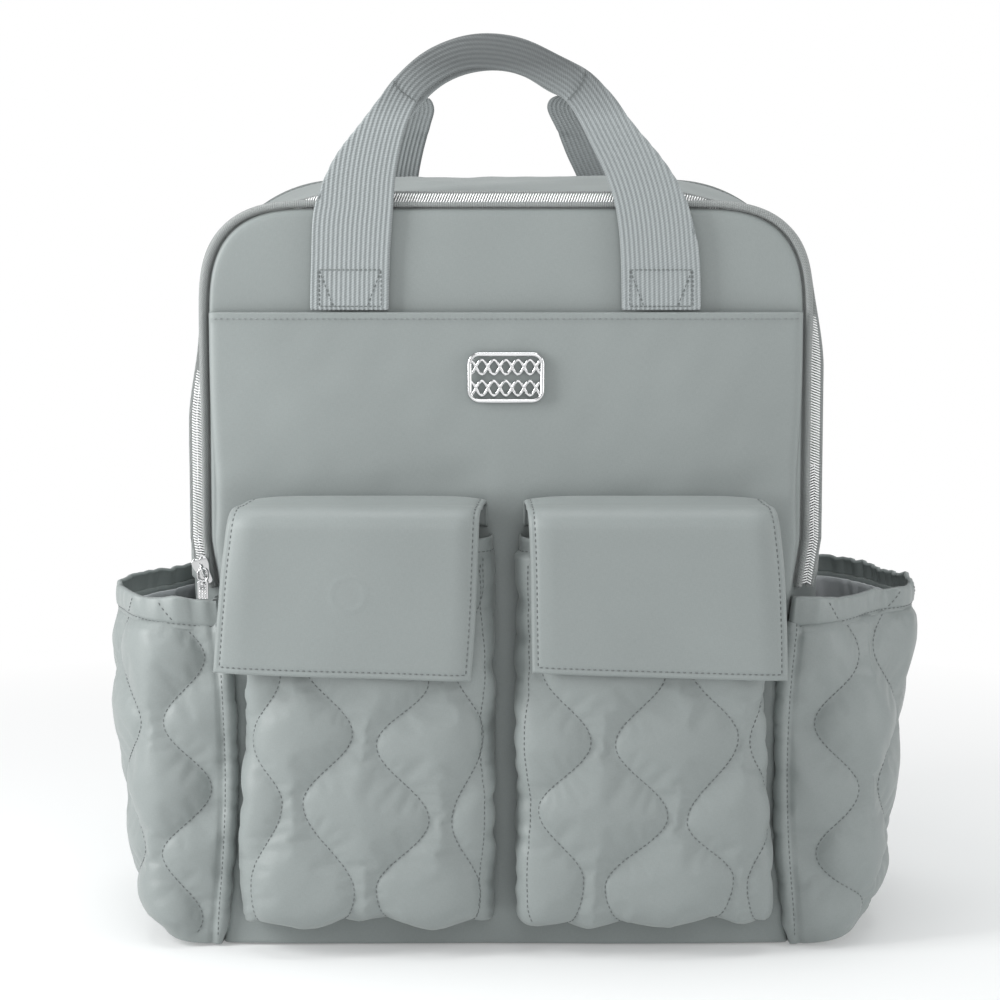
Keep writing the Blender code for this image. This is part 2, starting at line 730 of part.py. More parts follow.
def place_triglide(glide, sign, tape_top):
    """Lays a triglide flat on the outer face of its webbing, half way along."""
    low, high = TAPE_END.copy(), tape_top.copy()
    low.x, high.x = sign * low.x, sign * high.x
    up = (high - low).normalized()
    out = up.cross(Vector((-1, 0, 0))).normalized()
    across = up.cross(out)
    middle = low.lerp(high, 0.5) + out * (TAPE_T / 2 + TRIGLIDE_T / 2 + GAP)
    turn = Matrix((across, up, across.cross(up))).transposed()
    glide.matrix_world = Matrix.Translation(middle) @ turn.to_4x4()


base()
gussets()
lining()
front_lower()
front_upper()
zip_parts()
slider()
cargo_pockets()
flaps()
side_pockets()
inner_pocket()
handle("front_handle", FRONT_ARCH_A, FRONT_BEND)
handle("rear_handle", REAR_ARCH_A, REAR_BEND)
handle_anchors("front_handle_anchor", FRONT_ARCH_A, FRONT_BEND, SLIP_TOP + 0.002, -0.0853)
badge()
back()
straps()
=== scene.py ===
"""Looks of the diaper backpack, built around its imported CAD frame. Metres, +X right, -Y to the viewer."""

import math

import bmesh
import bpy
import numpy as np
from mathutils import Matrix, Vector


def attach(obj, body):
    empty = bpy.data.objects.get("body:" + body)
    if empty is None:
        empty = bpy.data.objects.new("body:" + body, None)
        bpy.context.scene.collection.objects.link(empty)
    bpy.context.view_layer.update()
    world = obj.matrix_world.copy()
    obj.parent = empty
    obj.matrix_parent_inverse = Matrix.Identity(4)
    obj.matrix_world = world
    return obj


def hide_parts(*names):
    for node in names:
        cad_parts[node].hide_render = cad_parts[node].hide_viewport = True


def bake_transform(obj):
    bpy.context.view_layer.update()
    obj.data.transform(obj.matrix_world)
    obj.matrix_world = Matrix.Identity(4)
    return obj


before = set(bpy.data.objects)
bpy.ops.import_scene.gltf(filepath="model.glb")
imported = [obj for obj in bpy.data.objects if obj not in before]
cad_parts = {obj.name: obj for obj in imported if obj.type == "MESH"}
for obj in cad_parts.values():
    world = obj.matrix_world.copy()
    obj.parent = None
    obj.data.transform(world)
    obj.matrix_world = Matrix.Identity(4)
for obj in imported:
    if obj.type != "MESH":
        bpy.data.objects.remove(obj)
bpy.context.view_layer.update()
PI = math.pi
SIDES = (("left", -1), ("right", 1))

# Outline of the body, as in the CAD
HALF_W, FOOT_HALF_W, WAIST_IN, WAIST_TOP = 0.150, 0.146, 0.009, 0.210
HEIGHT, CORNER_R, HALF_D = 0.377, 0.058, 0.080
CORNER_FULLNESS = 0.66  # 1 would be a quarter circle, less is squarer
SWELL_MIDDLE, SWELL_BACK, TOP_SHARE, GUSSET_EDGE = 0.0165, 0.012, 0.80, 0.0081
FABRIC = 0.0016
PANEL_Y, SLIP_Y, SLIP_TOP = -0.0825, -0.0890, 0.3245
LID_Z, ZIP_FOOT = 0.247, 0.187
FOLD_START, FOLD_END = (0, SLIP_Y, 0.2400), (0, SLIP_Y, 0.2540)

# Cargo pockets and flaps, for the right-hand side
POCKET_X, POCKET_BACK_Y, POCKET_PUFF = (0.0065, 0.1285), -0.0893, 0.0277
POCKET_FLOOR, POCKET_MOUTH = 0.022, 0.213
FLAP_HINGE, FLAP_FRONT_Y, FLAP_END_Z = (-0.0912, 0.2315), -0.1236, 0.146
FLAP_T, FLAP_FOLD_R = 0.0022, 0.012

# Side pockets, for the right-hand side
SIDE_FRONT_Y, SIDE_BACK_Y, SIDE_RIM_Z, HEM_H = -0.0918, 0.0790, 0.1805, 0.0125

# Base colours, linear
GREY = (0.232, 0.258, 0.254)
LINING_GREY = (0.600, 0.620, 0.640)
WEB_GREY = (0.315, 0.345, 0.350)
# A darker copy of the webbing grey: painted shade on the rear handle and on the front handle's grip
SHADED_WEB_GREY = tuple(0.62 * c for c in WEB_GREY)
THREAD_GREY = (0.125, 0.140, 0.140)


# ---------------------------------------------------------------- numbers
def lerp(low, high, t):
    return low + (high - low) * t


def ease(t):
    t = np.clip(t, 0.0, 1.0)
    return t * t * (3 - 2 * t)


def hump(distance, width):
    """1 where the distance is 0, falling off smoothly to both sides."""
    return np.exp(-((distance / width) ** 2))


def rolled(distance, reach, power=2):
    """From 0 at an edge to 1 at a distance from it, as a rounded edge rises."""
    return 1 - (1 - np.clip(distance / reach, 0, 1)) ** power


def half_width(z):
    """Half width of the front seam, drawn in at the waist beside the side pockets."""
    t = np.clip(np.asarray(z, float) / WAIST_TOP, 0, 1)
    return lerp(FOOT_HALF_W, HALF_W, t) - WAIST_IN * np.sin(PI * t)


def swell(y, front):
    """How far the gusset stands outside the front seam at depth y."""
    t = np.asarray(y) / HALF_D
    lean, crown = (SWELL_BACK - front) / 2, (SWELL_BACK + front) / 2 - SWELL_MIDDLE
    return SWELL_MIDDLE + lean * t + crown * t * t


def fullness_at(y):
    """How square the upper corners are at a depth: 1 is a quarter circle, as at the back."""
    return lerp(CORNER_FULLNESS, 1.0, ease((y + HALF_D) / (2 * HALF_D)))


def arch(offset, foot, side=60, turn=26, top=36, fullness=CORNER_FULLNESS):
    """The seam's outline offset outwards, from the left foot over the top to the right foot."""
    spring = HEIGHT - CORNER_R
    up = np.linspace(foot, spring, side)
    angle = np.linspace(0, PI / 2, turn)[1:]
    across, rise = np.abs(np.cos(angle)) ** fullness, np.sin(angle) ** fullness
    x = np.r_[half_width(up) + offset, HALF_W - CORNER_R + (CORNER_R + offset) * across]
    z = np.r_[up, spring + (CORNER_R + TOP_SHARE * offset) * rise]
    middle = np.linspace(x[-1], -x[-1], top)[1:-1]
    right = np.c_[x, z][::-1]
    left = np.c_[-x, z]
    return np.r_[left, np.c_[-middle, np.full(top - 2, z[-1])], right]


def tucked(points, amount=0.0056, back=0.0, middle=0.0045):
    """Draws points in round the top corners, where the gusset turns behind the zip tape."""
    x, z = points[..., 0], points[..., 2]
    foot = np.where(x < 0, 0.268, 0.296)
    level = ease((z - foot) / 0.05) * ease((np.abs(x) - 0.082) / 0.034)
    spring = HEIGHT - CORNER_R
    outward = np.sign(x) * np.maximum(np.abs(x) - HALF_W + CORNER_R, 0)
    away = np.stack([outward, 0 * x, np.maximum(z - spring, 0)], -1)
    away /= np.maximum(np.linalg.norm(away, axis=-1, keepdims=True), 1e-9)
    depth = np.clip(points[..., 1] / HALF_D / 2 + 0.5, 0, 1)
    amount = amount * (1 - ease((depth - 0.55) / 0.45)) + middle * np.sin(depth * PI)
    return points - (away * amount[..., None] - np.array((0, back, 0))) * level[..., None]


def fan(offset, foot, share, centre=0.190, fullness=CORNER_FULLNESS):
    """Rings of (x, z) shrinking from the outline, closed along the bottom, to a point at a height."""
    edge = arch(offset, foot, side=90, turn=34, top=60, fullness=fullness)
    floor = np.linspace(0, 1, 24)[:-1, None] * edge[:1] + np.linspace(1, 0, 24)[:-1, None] * (0, foot)
    edge = np.r_[floor, edge, floor[::-1] * (-1, 1)]
    x = edge[:, 0][None] * (1 - share[:, None])
    z = lerp(edge[:, 1][None], centre, share[:, None])
    return x, z, np.hypot(edge[:, 0][None] - x, edge[:, 1][None] - z)


def soften(line, reach):
    """Evens out a line over a few points each way; its ends stay."""
    kernel = np.hanning(2 * reach + 3)[1:-1]
    padded = np.pad(line, ((reach, reach), (0, 0)), mode="reflect", reflect_type="odd")
    return np.stack([np.convolve(column, kernel / kernel.sum(), "valid") for column in padded.T], 1)


def lengths(line):
    """Distance along a line at each of its points."""
    return np.r_[0, np.cumsum(np.linalg.norm(np.diff(line, axis=0), axis=1))]


def at_depth(line, y):
    """Places (x, y, z) along an outline (x, z) that lies at a depth."""
    return np.stack([line[:, 0], np.full(len(line), y), line[:, 1]], 1)


def mirrored(points, sign):
    """A right-hand grid as it is, or its mirror image for the left."""
    return points[:, ::-1] * (-1, 1, 1) if sign < 0 else points


def respace(line, count):
    """The same line with evenly spaced points."""
    along = lengths(line)
    at = np.linspace(0, along[-1], count)
    return np.stack([np.interp(at, along, column) for column in line.T], axis=1)


def smooth(points, count):
    """A smooth line through a few points of any dimension, in even steps between them."""
    p = np.array(points, float)
    t = lengths(p)
    slope = np.gradient(p, t, axis=0)
    s = np.linspace(0, t[-1], count)
    i = np.clip(np.searchsorted(t, s) - 1, 0, len(p) - 2)
    gap = (t[i + 1] - t[i])[:, None]
    f = ((s - t[i]) / gap[:, 0])[:, None]
    a, b = p[i], p[i + 1]
    m, n = slope[i] * gap, slope[i + 1] * gap
    return a + m * f + (3 * (b - a) - 2 * m - n) * f**2 + (2 * (a - b) + m + n) * f**3


def ripple(x, z, seed, size=0.05):
    """A soft random field from -1 to 1, the same in each run."""
    draw = np.random.default_rng(seed)
    total = np.zeros(np.broadcast(x, z).shape)
    for _ in range(10):
        turn, phase, stretch = draw.uniform(0, 2 * PI), draw.uniform(0, 2 * PI), draw.uniform(0.6, 1.6)
        total += np.sin((x * math.cos(turn) + z * math.sin(turn)) * 2 * PI * stretch / size + phase)
    return total / 5.0


def normals_of(points):
    normal = np.cross(np.gradient(points, axis=1), np.gradient(points, axis=0))
    size = np.linalg.norm(normal, axis=2, keepdims=True)
    return normal / np.maximum(size, 1e-12)


def outward_normals(points):
    """Normals of a right-hand side wall, which faces +X."""
    normal = normals_of(points)
    return -normal if normal[len(points) // 2, points.shape[1] // 2, 0] < 0 else normal


# ---------------------------------------------------------------- meshes
def link(name, mesh, material):
    piece = bpy.data.objects.new(name, mesh)
    bpy.context.scene.collection.objects.link(piece)
    mesh.materials.append(material)
    for polygon in mesh.polygons:
        polygon.use_smooth = True
    return piece


def set_uv(mesh, uv):
    """Cloth coordinates in metres, one for each vertex."""
    layer = mesh.uv_layers.new(name="Cloth")
    corner = np.zeros(len(mesh.loops), np.int32)
    mesh.loops.foreach_get("vertex_index", corner)
    layer.data.foreach_set("uv", np.asarray(uv, np.float32)[corner].ravel())


def build(points, faces, uv):
    mesh = bpy.data.meshes.new("surface")
    mesh.from_pydata(np.asarray(points).tolist(), [], [tuple(f) for f in faces])
    mesh.update()
    set_uv(mesh, uv)
    return mesh


def grid_faces(rows, columns, start=0, flip=False):
    i = np.arange(rows * columns).reshape(rows, columns) + start
    quads = np.stack([i[:-1, :-1], i[:-1, 1:], i[1:, 1:], i[1:, :-1]], axis=-1).reshape(-1, 4)
    return (quads[:, ::-1] if flip else quads).tolist()


def cloth_uv(points):
    across = np.linalg.norm(np.diff(points, axis=1), axis=2)
    up = np.linalg.norm(np.diff(points, axis=0), axis=2)
    u = np.concatenate([np.zeros((len(points), 1)), np.cumsum(across, axis=1)], axis=1)
    u -= u[:, -1:] / 2
    v = np.r_[0, np.cumsum(up.mean(axis=1))]
    return np.stack([u, np.broadcast_to(v[:, None], u.shape)], axis=-1)


def sheet_mesh(points, thickness, uv=None):
    """A sewn panel: the outer surface, an inner one behind it, and a rounded edge between them."""
    rows, columns = points.shape[:2]
    normal = normals_of(points)
    inner = points - normal * thickness
    if uv is None:
        uv = cloth_uv(points)
    loop = [(0, c) for c in range(columns)]
    loop += [(r, columns - 1) for r in range(1, rows)]
    loop += [(rows - 1, c) for c in range(columns - 2, -1, -1)]
    loop += [(r, 0) for r in range(rows - 2, 0, -1)]
    r, c = np.array(loop).T
    inside = points[np.clip(r, 1, rows - 2), np.clip(c, 1, columns - 2)]
    away = points[r, c] - inside
    away /= np.maximum(np.linalg.norm(away, axis=1, keepdims=True), 1e-12)
    edge = (points[r, c] + inner[r, c]) / 2 + away * thickness * 0.45
    size = rows * columns
    spots = np.concatenate([points.reshape(-1, 3), inner.reshape(-1, 3), edge])
    flat = uv.reshape(-1, 2)
    uvs = np.concatenate([flat, flat, uv[r, c]])
    faces = grid_faces(rows, columns) + grid_faces(rows, columns, size, flip=True)
    count = len(loop)
    outer_id = r * columns + c
    for k in range(count):
        n = (k + 1) % count
        a, b, e, f = outer_id[k], outer_id[n], 2 * size + k, 2 * size + n
        faces.append((a, e, f, b))
        faces.append((e, a + size, b + size, f))
    return build(spots, faces, uvs)


def tube_mesh(line, radius, sides=8, closed=False):
    """A round wire or cord along a line; its radius may change along the line."""
    line = np.asarray(line, float)
    count = len(line)
    radius = np.broadcast_to(radius, count)
    ahead = np.roll(line, -1, 0) - np.roll(line, 1, 0) if closed else np.gradient(line, axis=0)
    ahead /= np.maximum(np.linalg.norm(ahead, axis=1, keepdims=True), 1e-12)
    side = np.cross(ahead[0], (0.31, 0.17, 0.93))
    frames = []
    for t in ahead:
        side = side - t * (side @ t)
        side = side / np.linalg.norm(side)
        frames.append((side, np.cross(t, side)))
    angle = np.arange(sides) * 2 * PI / sides
    spots, uv = [], []
    along = lengths(line)
    for k in range(count):
        a, b = frames[k]
        ring = line[k] + radius[k] * (np.outer(np.cos(angle), a) + np.outer(np.sin(angle), b))
        spots.append(ring)
        uv.append(np.c_[angle * radius[k], np.full(sides, along[k])])
    faces = []
    for k in range(count if closed else count - 1):
        n = (k + 1) % count
        for j in range(sides):
            m = (j + 1) % sides
            faces.append((k * sides + j, k * sides + m, n * sides + m, n * sides + j))
    if not closed:
        faces.append(tuple(range(sides))[::-1])
        faces.append(tuple(range((count - 1) * sides, count * sides)))
    return build(np.concatenate(spots), faces, np.concatenate(uv))


def faced_out(mesh):
    form = bmesh.new()
    form.from_mesh(mesh)
    bmesh.ops.recalc_face_normals(form, faces=form.faces)
    form.to_mesh(mesh)
    form.free()
    return mesh


def box_uv(mesh):
    """Cloth coordinates laid on by each face's direction, for forms that aren't grids."""
    layer = mesh.uv_layers.get("Cloth") or mesh.uv_layers.new(name="Cloth")
    pick = {0: (1, 2), 1: (0, 2), 2: (0, 1)}
    for polygon in mesh.polygons:
        across, up = pick[int(np.argmax(np.abs(polygon.normal)))]
        for corner in polygon.loop_indices:
            place = mesh.vertices[mesh.loops[corner].vertex_index].co
            layer.data[corner].uv = (place[across], place[up])


def merged(name, meshes, material):
    """One piece from several meshes, each of which keeps its Cloth coordinates."""
    form = bmesh.new()
    for mesh in meshes:
        form.from_mesh(mesh)
        bpy.data.meshes.remove(mesh)
    whole = bpy.data.meshes.new(name)
    form.to_mesh(whole)
    form.free()
    return link(name, whole, material)


def plate_mesh(outline, low, high, bevel=0.0, holes=()):
    """A flat plate cut to an outline in X and Z, from depth low to high, with softened edges."""
    curve = bpy.data.curves.new("plate", "CURVE")
    curve.dimensions, curve.fill_mode = "2D", "BOTH"
    curve.extrude, curve.bevel_depth, curve.bevel_resolution = (high - low) / 2 - bevel, bevel, 2
    curve.offset = -bevel
    for loop in (outline, *holes):
        spline = curve.splines.new("POLY")
        spline.points.add(len(loop) - 1)
        for point, (x, z) in zip(spline.points, loop):
            point.co = (x, z, 0, 1)
        spline.use_cyclic_u = True
    piece = bpy.data.objects.new("plate", curve)
    bpy.context.scene.collection.objects.link(piece)
    bpy.context.view_layer.update()
    mesh = bpy.data.meshes.new_from_object(piece.evaluated_get(bpy.context.evaluated_depsgraph_get()))
    bpy.data.objects.remove(piece)
    bpy.data.curves.remove(curve)
    mesh.transform(Matrix.Translation((0, (low + high) / 2, 0)) @ Matrix.Rotation(PI / 2, 4, "X"))
    form = bmesh.new()
    form.from_mesh(mesh)
    bmesh.ops.remove_doubles(form, verts=form.verts, dist=1e-6)
    form.to_mesh(mesh)
    form.free()
    mesh.materials.clear()
    box_uv(mesh)
    return mesh


def rounded_rectangle(width, height, radius, centre=(0, 0), steps=6):
    corners = []
    for quarter in range(4):
        across = (width / 2 - radius) * (1 if quarter in (0, 3) else -1)
        up = (height / 2 - radius) * (1 if quarter in (0, 1) else -1)
        for i in range(steps + 1):
            angle = (quarter + i / steps) * PI / 2
            x = centre[0] + across + radius * math.cos(angle)
            corners.append((x, centre[1] + up + radius * math.sin(angle)))
    return corners


def place(piece, body, slot, *nodes):
    """Rides a piece on a body and hides the CAD nodes that it stands for; its slot is not used."""
    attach(piece, body)
    if nodes:
        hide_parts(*nodes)
    return piece


def fold(piece, slot, *nodes, bodies=("bag", "lid"), start=FOLD_START, end=FOLD_END):
    """Hides the CAD nodes that a piece of fabric stands for and bakes its place into its mesh."""
    if nodes:
        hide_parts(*nodes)
    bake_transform(piece)
    return piece


# ---------------------------------------------------------------- stitching
class Patch:
    """A grid surface that can be read between its points."""

    def __init__(self, points):
        self.points = points
        self.normals = normals_of(points)

    def read(self, array, row, column):
        rows, columns = array.shape[:2]
        row = np.clip(np.asarray(row, float), 0, rows - 1.001)
        column = np.clip(np.asarray(column, float), 0, columns - 1.001)
        r, c = row.astype(int), column.astype(int)
        f, g = (row - r)[:, None], (column - c)[:, None]
        low = array[r, c] * (1 - g) + array[r, c + 1] * g
        high = array[r + 1, c] * (1 - g) + array[r + 1, c + 1] * g
        return low * (1 - f) + high * f

    def line(self, row, column):
        """Places and directions out of the cloth along a line of grid positions."""
        row, column = np.broadcast_arrays(np.asarray(row, float), np.asarray(column, float))
        return self.read(self.points, row, column), self.read(self.normals, row, column)


STITCH_ALONG = np.array([-0.50, -0.34, 0.0, 0.34, 0.50])
STITCH_LIFT = np.array([-0.9, 0.10, 0.38, 0.10, -0.9])
STITCH_GIRTH = np.array([0.35, 0.95, 1.0, 0.95, 0.35])
STITCH_SIDES = 6
# pitch, length and radius
QUILT_STITCH, HEM_STITCH = (0.0027, 0.0019, 0.00030), (0.0027, 0.0019, 0.00032)
ANCHOR_STITCH, CREASE_STITCH = (0.0022, 0.0017, 0.00028), (0.0014, 0.0013, 0.00026)
FLAP_STITCH = (0.0029, 0.0019, 0.00036)


def stitch_mesh(runs, pitch=0.0030, length=0.0021, radius=0.00034):
    """Lock stitches along runs of (places, directions out of the cloth)."""
    angle = np.arange(STITCH_SIDES) * 2 * PI / STITCH_SIDES
    spots, uv, faces = [], [], []
    for places, out in runs:
        along = lengths(places)
        count = max(int(along[-1] / pitch), 1)
        at = (np.arange(count) + 0.5) * along[-1] / count
        middle = np.stack([np.interp(at, along, c) for c in places.T], 1)
        ahead = np.stack([np.interp(at, along, c) for c in np.gradient(places, axis=0).T], 1)
        up = np.stack([np.interp(at, along, c) for c in out.T], 1)
        ahead /= np.maximum(np.linalg.norm(ahead, axis=1, keepdims=True), 1e-12)
        up -= ahead * (up * ahead).sum(1, keepdims=True)
        up /= np.maximum(np.linalg.norm(up, axis=1, keepdims=True), 1e-12)
        side = np.cross(ahead, up)
        first = sum(len(s) for s in spots)
        rings = (
            middle[:, None, None]
            + ahead[:, None, None] * (STITCH_ALONG * length)[:, None, None]
            + up[:, None, None] * (STITCH_LIFT * radius)[:, None, None]
            + side[:, None, None] * (np.outer(STITCH_GIRTH, np.cos(angle)) * radius)[..., None]
            + up[:, None, None] * (np.outer(STITCH_GIRTH, np.sin(angle)) * radius)[..., None]
        )
        spots.append(rings.reshape(-1, 3))
        flat = np.stack(np.meshgrid(angle * radius, STITCH_ALONG * length), -1).reshape(-1, 2)
        uv.append(np.tile(flat, (count, 1)))
        size = len(STITCH_ALONG) * STITCH_SIDES
        for k in range(count):
            base = first + k * size
            for ring in range(len(STITCH_ALONG) - 1):
                for j in range(STITCH_SIDES):
                    m = (j + 1) % STITCH_SIDES
                    a, b = base + ring * STITCH_SIDES, base + (ring + 1) * STITCH_SIDES
                    faces.append((a + j, b + j, b + m, a + m))
            faces.append(tuple(base + j for j in range(STITCH_SIDES)))
            faces.append(tuple(base + size - 1 - j for j in range(STITCH_SIDES)))
    return build(np.concatenate(spots), faces, np.concatenate(uv))


def facing_run(places, sign):
    """A run of stitches on a face that looks along Y, to the front (-1) or the back (1)."""
    return places, np.tile((0.0, sign, 0.0), (len(places), 1))


def sew(name, runs, body, slot, size=(), thread=None):
    """A piece of stitching on one body; its size is pitch, length and radius."""
    return place(link(name, stitch_mesh(runs, *size), thread or THREAD), body, slot)


# ---------------------------------------------------------------- materials
class Paint:
    """A Principled material with short ways to add procedural detail."""

    def __init__(self, name, colour, roughness, metallic=0.0, **values):
        self.material = bpy.data.materials.new(name)
        self.material.use_nodes = True
        self.tree = self.material.node_tree
        self.shader = self.tree.nodes["Principled BSDF"]
        self.colour = colour
        self.shader.inputs["Base Color"].default_value = (*colour, 1)
        self.shader.inputs["Roughness"].default_value = roughness
        self.shader.inputs["Metallic"].default_value = metallic
        for key, value in values.items():
            self.shader.inputs[key.replace("_", " ").title()].default_value = value
        self.height = None

    def add(self, kind, inputs=(), **settings):
        node = self.tree.nodes.new(kind)
        for key, value in settings.items():
            setattr(node, key, value)
        for key, value in dict(inputs).items():
            if hasattr(value, "is_output"):
                self.tree.links.new(value, node.inputs[key])
            else:
                node.inputs[key].default_value = value
        return node

    def cloth(self, across, up):
        uv = self.add("ShaderNodeUVMap", uv_map="Cloth").outputs[0]
        return self.add("ShaderNodeMapping", {"Vector": uv, "Scale": (across, up, 1)}).outputs[0]

    def space(self, scale=(1, 1, 1)):
        spot = self.add("ShaderNodeTexCoord").outputs["Object"]
        return self.add("ShaderNodeMapping", {"Vector": spot, "Scale": scale}).outputs[0]

    def noise(self, vector, scale=1.0, detail=3.0, rough=0.55):
        inputs = {"Vector": vector, "Scale": scale, "Detail": detail, "Roughness": rough}
        return self.add("ShaderNodeTexNoise", inputs).outputs["Fac"]

    def sum(self, a, b, operation="ADD"):
        return self.add("ShaderNodeMath", {0: a, 1: b}, operation=operation).outputs[0]

    def wave(self, vector, scale, direction="X", distortion=0.0, profile="SIN"):
        node = self.add("ShaderNodeTexWave", {"Vector": vector, "Scale": scale, "Distortion": distortion},
                        bands_direction=direction, wave_profile=profile)
        return node.outputs["Fac"]

    def tint(self, amount, spread, share=(0.3, 0.7)):
        """Varies the colour about its own value by the given spread."""
        level = self.add("ShaderNodeMapRange", {
            "Value": amount, "From Min": share[0], "From Max": share[1],
            "To Min": 1 - spread, "To Max": 1 + spread}).outputs[0]
        before = self.shader.inputs["Base Color"]
        source = before.links[0].from_socket if before.is_linked else self.colour
        mixed = self.add("ShaderNodeVectorMath", {0: source, 1: level}, operation="MULTIPLY").outputs[0]
        self.tree.links.new(mixed, before)

    def roughen(self, amount, low, high):
        level = self.add("ShaderNodeMapRange", {"Value": amount, "From Min": 0.3, "From Max": 0.7,
                                                "To Min": low, "To Max": high}).outputs[0]
        self.tree.links.new(level, self.shader.inputs["Roughness"])

    def bump(self, height, distance, strength=1.0):
        inputs = {"Height": height, "Distance": distance, "Strength": strength}
        if self.height is not None:
            inputs["Normal"] = self.height
        self.height = self.add("ShaderNodeBump", inputs).outputs[0]
        self.tree.links.new(self.height, self.shader.inputs["Normal"])


def nylon(name, colour, roughness=0.50, wrinkle=0.00025, sheen=0.12):
    """Tightly woven matt nylon: fine threads both ways, faint mottling and small creases."""
    paint = Paint(name, colour, roughness, sheen_weight=sheen, sheen_roughness=0.45)
    warp = paint.noise(paint.cloth(3200, 420), detail=2)
    weft = paint.noise(paint.cloth(420, 3200), detail=2)
    threads = paint.sum(warp, weft)
    mottle = paint.noise(paint.space((14, 14, 14)), detail=4)
    paint.tint(mottle, 0.035)
    paint.tint(threads, 0.045, (0.7, 1.3))
    paint.roughen(mottle, roughness - 0.05, roughness + 0.06)
    paint.bump(paint.noise(paint.space((70, 70, 46)), detail=3), wrinkle, 0.35)
    paint.bump(threads, 0.00008, 0.55)
    return paint.material


def band(period):
    """Scale of a wave texture that repeats at a distance in metres."""
    return PI / 10 / period


def woven(name, colour, rib, pick, roughness=0.78, painted_shade=None):
    """Webbing or tape: lengthwise ribs crossed by short slanting picks, with painted shade darker above a
    height if asked.
    """
    paint = Paint(name, colour, roughness, sheen_weight=0.2, sheen_roughness=0.5)
    ribs = paint.wave(paint.cloth(1, 1), band(rib), "X")
    slant = paint.add("ShaderNodeMapping", {"Vector": paint.cloth(1, 1), "Rotation": (0, 0, 0.5)}).outputs[0]
    picks = paint.wave(slant, band(pick), "Y", 0.4)
    grain = paint.noise(paint.cloth(900, 2400), detail=2)
    paint.tint(ribs, 0.13, (0.0, 1.0))
    paint.tint(picks, 0.10, (0.0, 1.0))
    paint.tint(grain, 0.10)
    if painted_shade:
        # painted shade: the colour darkens above one height and lightens below another, as though the
        # webbing's top were in shade
        height = paint.add("ShaderNodeSeparateXYZ", {0: paint.space()}).outputs["Z"]
        unshaded = paint.add("ShaderNodeMapRange", {"Value": height, "From Min": painted_shade[0], "From Max": painted_shade[1],
                                                 "To Min": 0.0, "To Max": 1.0}).outputs[0]
        paint.tint(unshaded, painted_shade[2], (1.0, 0.0))
        paint.shader.inputs["Base Color"].links[0].from_node.inputs[0].default_value = colour
    paint.bump(ribs, 0.00022, 0.9)
    paint.bump(picks, 0.00012, 0.9)
    return paint.material


def metal(name, colour, roughness, grain=0.05, metallic=1.0):
    paint = Paint(name, colour, roughness, metallic)
    marks = paint.noise(paint.space((300, 300, 300)), detail=4)
    wear = paint.noise(paint.space((60, 60, 60)), detail=3)
    paint.roughen(wear, max(roughness - grain, 0.03), roughness + grain)
    paint.tint(wear, 0.04)
    paint.bump(marks, 0.00003, 0.25)
    return paint.material


def thread(name, colour):
    paint = Paint(name, colour, 0.6, sheen_weight=0.2)
    ply = paint.wave(paint.cloth(1400, 700), 1.0, "DIAGONAL")
    paint.tint(ply, 0.18, (0.0, 1.0))
    paint.bump(ply, 0.00006, 0.7)
    return paint.material


def air_mesh(name, colour):
    """Spacer mesh: small round holes in rows."""
    paint = Paint(name, colour, 0.85, sheen_weight=0.2)
    inputs = {"Vector": paint.cloth(1, 1), "Scale": 420.0, "Randomness": 0.12}
    cells = paint.add("ShaderNodeTexVoronoi", inputs)
    hole = cells.outputs["Distance"]
    paint.tint(hole, 0.55, (0.65, 0.15))
    paint.bump(paint.sum(hole, 0.5, "MINIMUM"), 0.0009, 0.9)
    return paint.material


def speckled(name, colour, roughness, metallic=0.0, scale=500):
    paint = Paint(name, colour, roughness, metallic)
    grain = paint.noise(paint.space((scale, scale, scale)), detail=4)
    paint.tint(grain, 0.12)
    paint.bump(grain, 0.00006, 0.5)
    return paint.material


SHELL = nylon("shell_nylon", GREY)
QUILTED = nylon("quilted_nylon", GREY, 0.48, wrinkle=0.0005)
LINING = nylon("lining_nylon", LINING_GREY, 0.55, wrinkle=0.0006)
PIPING = nylon("piping_nylon", tuple(0.55 * c for c in GREY), 0.6)
WEB_RIB, WEB_PICK = 0.0023, 0.0011
WEBBING = woven("webbing_weave", WEB_GREY, WEB_RIB, WEB_PICK)
# Both handles' webbing carries painted shade: the grip darkens towards its top, and the rear handle is darker
# throughout
GRIP_WEBBING_SHADED = woven("grip_webbing_painted_shade", SHADED_WEB_GREY, WEB_RIB, WEB_PICK, painted_shade=(0.421, 0.449, 0.42))
REAR_WEBBING_SHADED = woven("rear_webbing_painted_shade", SHADED_WEB_GREY, WEB_RIB, WEB_PICK)
TAPE = woven("zip_tape_weave", (0.262, 0.278, 0.275), 0.0011, 0.0007)
TEETH = metal("zip_teeth_metal", (0.95, 0.955, 0.955), 0.30, metallic=0.55)
NICKEL = metal("polished_nickel", (0.66, 0.665, 0.67), 0.14)
THREAD = thread("stitch_thread", THREAD_GREY)
LIGHT_THREAD = thread("light_thread", (0.20, 0.22, 0.22))
MESH = air_mesh("air_mesh", (0.120, 0.135, 0.135))
BOARD = speckled("base_board_fibre", (0.30, 0.28, 0.25), 0.8, scale=160)
MAGNET = speckled("magnet_steel", (0.45, 0.46, 0.48), 0.35, 1.0)


# ---------------------------------------------------------------- camera, floor and light
def camera():
    lens = bpy.data.cameras.new("camera")
    lens.lens, lens.sensor_width = 108.0, 36.0
    view = bpy.data.objects.new("camera", lens)
    bpy.context.scene.collection.objects.link(view)
    view.location = (-0.003, -1.589, 0.420)
    view.rotation_euler = (math.radians(90 - 7.2), 0, 0)
    bpy.context.scene.camera = view


ROOM_LIGHT = 0.40
STUDIO_LIGHTS = (
    ("key", 8.8, (0.30, 0.70), (-0.85, -0.42, 0.52)),
    ("front", 8.6, (1.2, 1.2), (0.2, -2.0, 0.9)),
    ("fill", 8.0, (0.6, 1.2), (1.7, -0.75, 0.6)),
    ("top", 15.5, (1.4, 1.0), (0.0, 0.0, 1.7)),
)


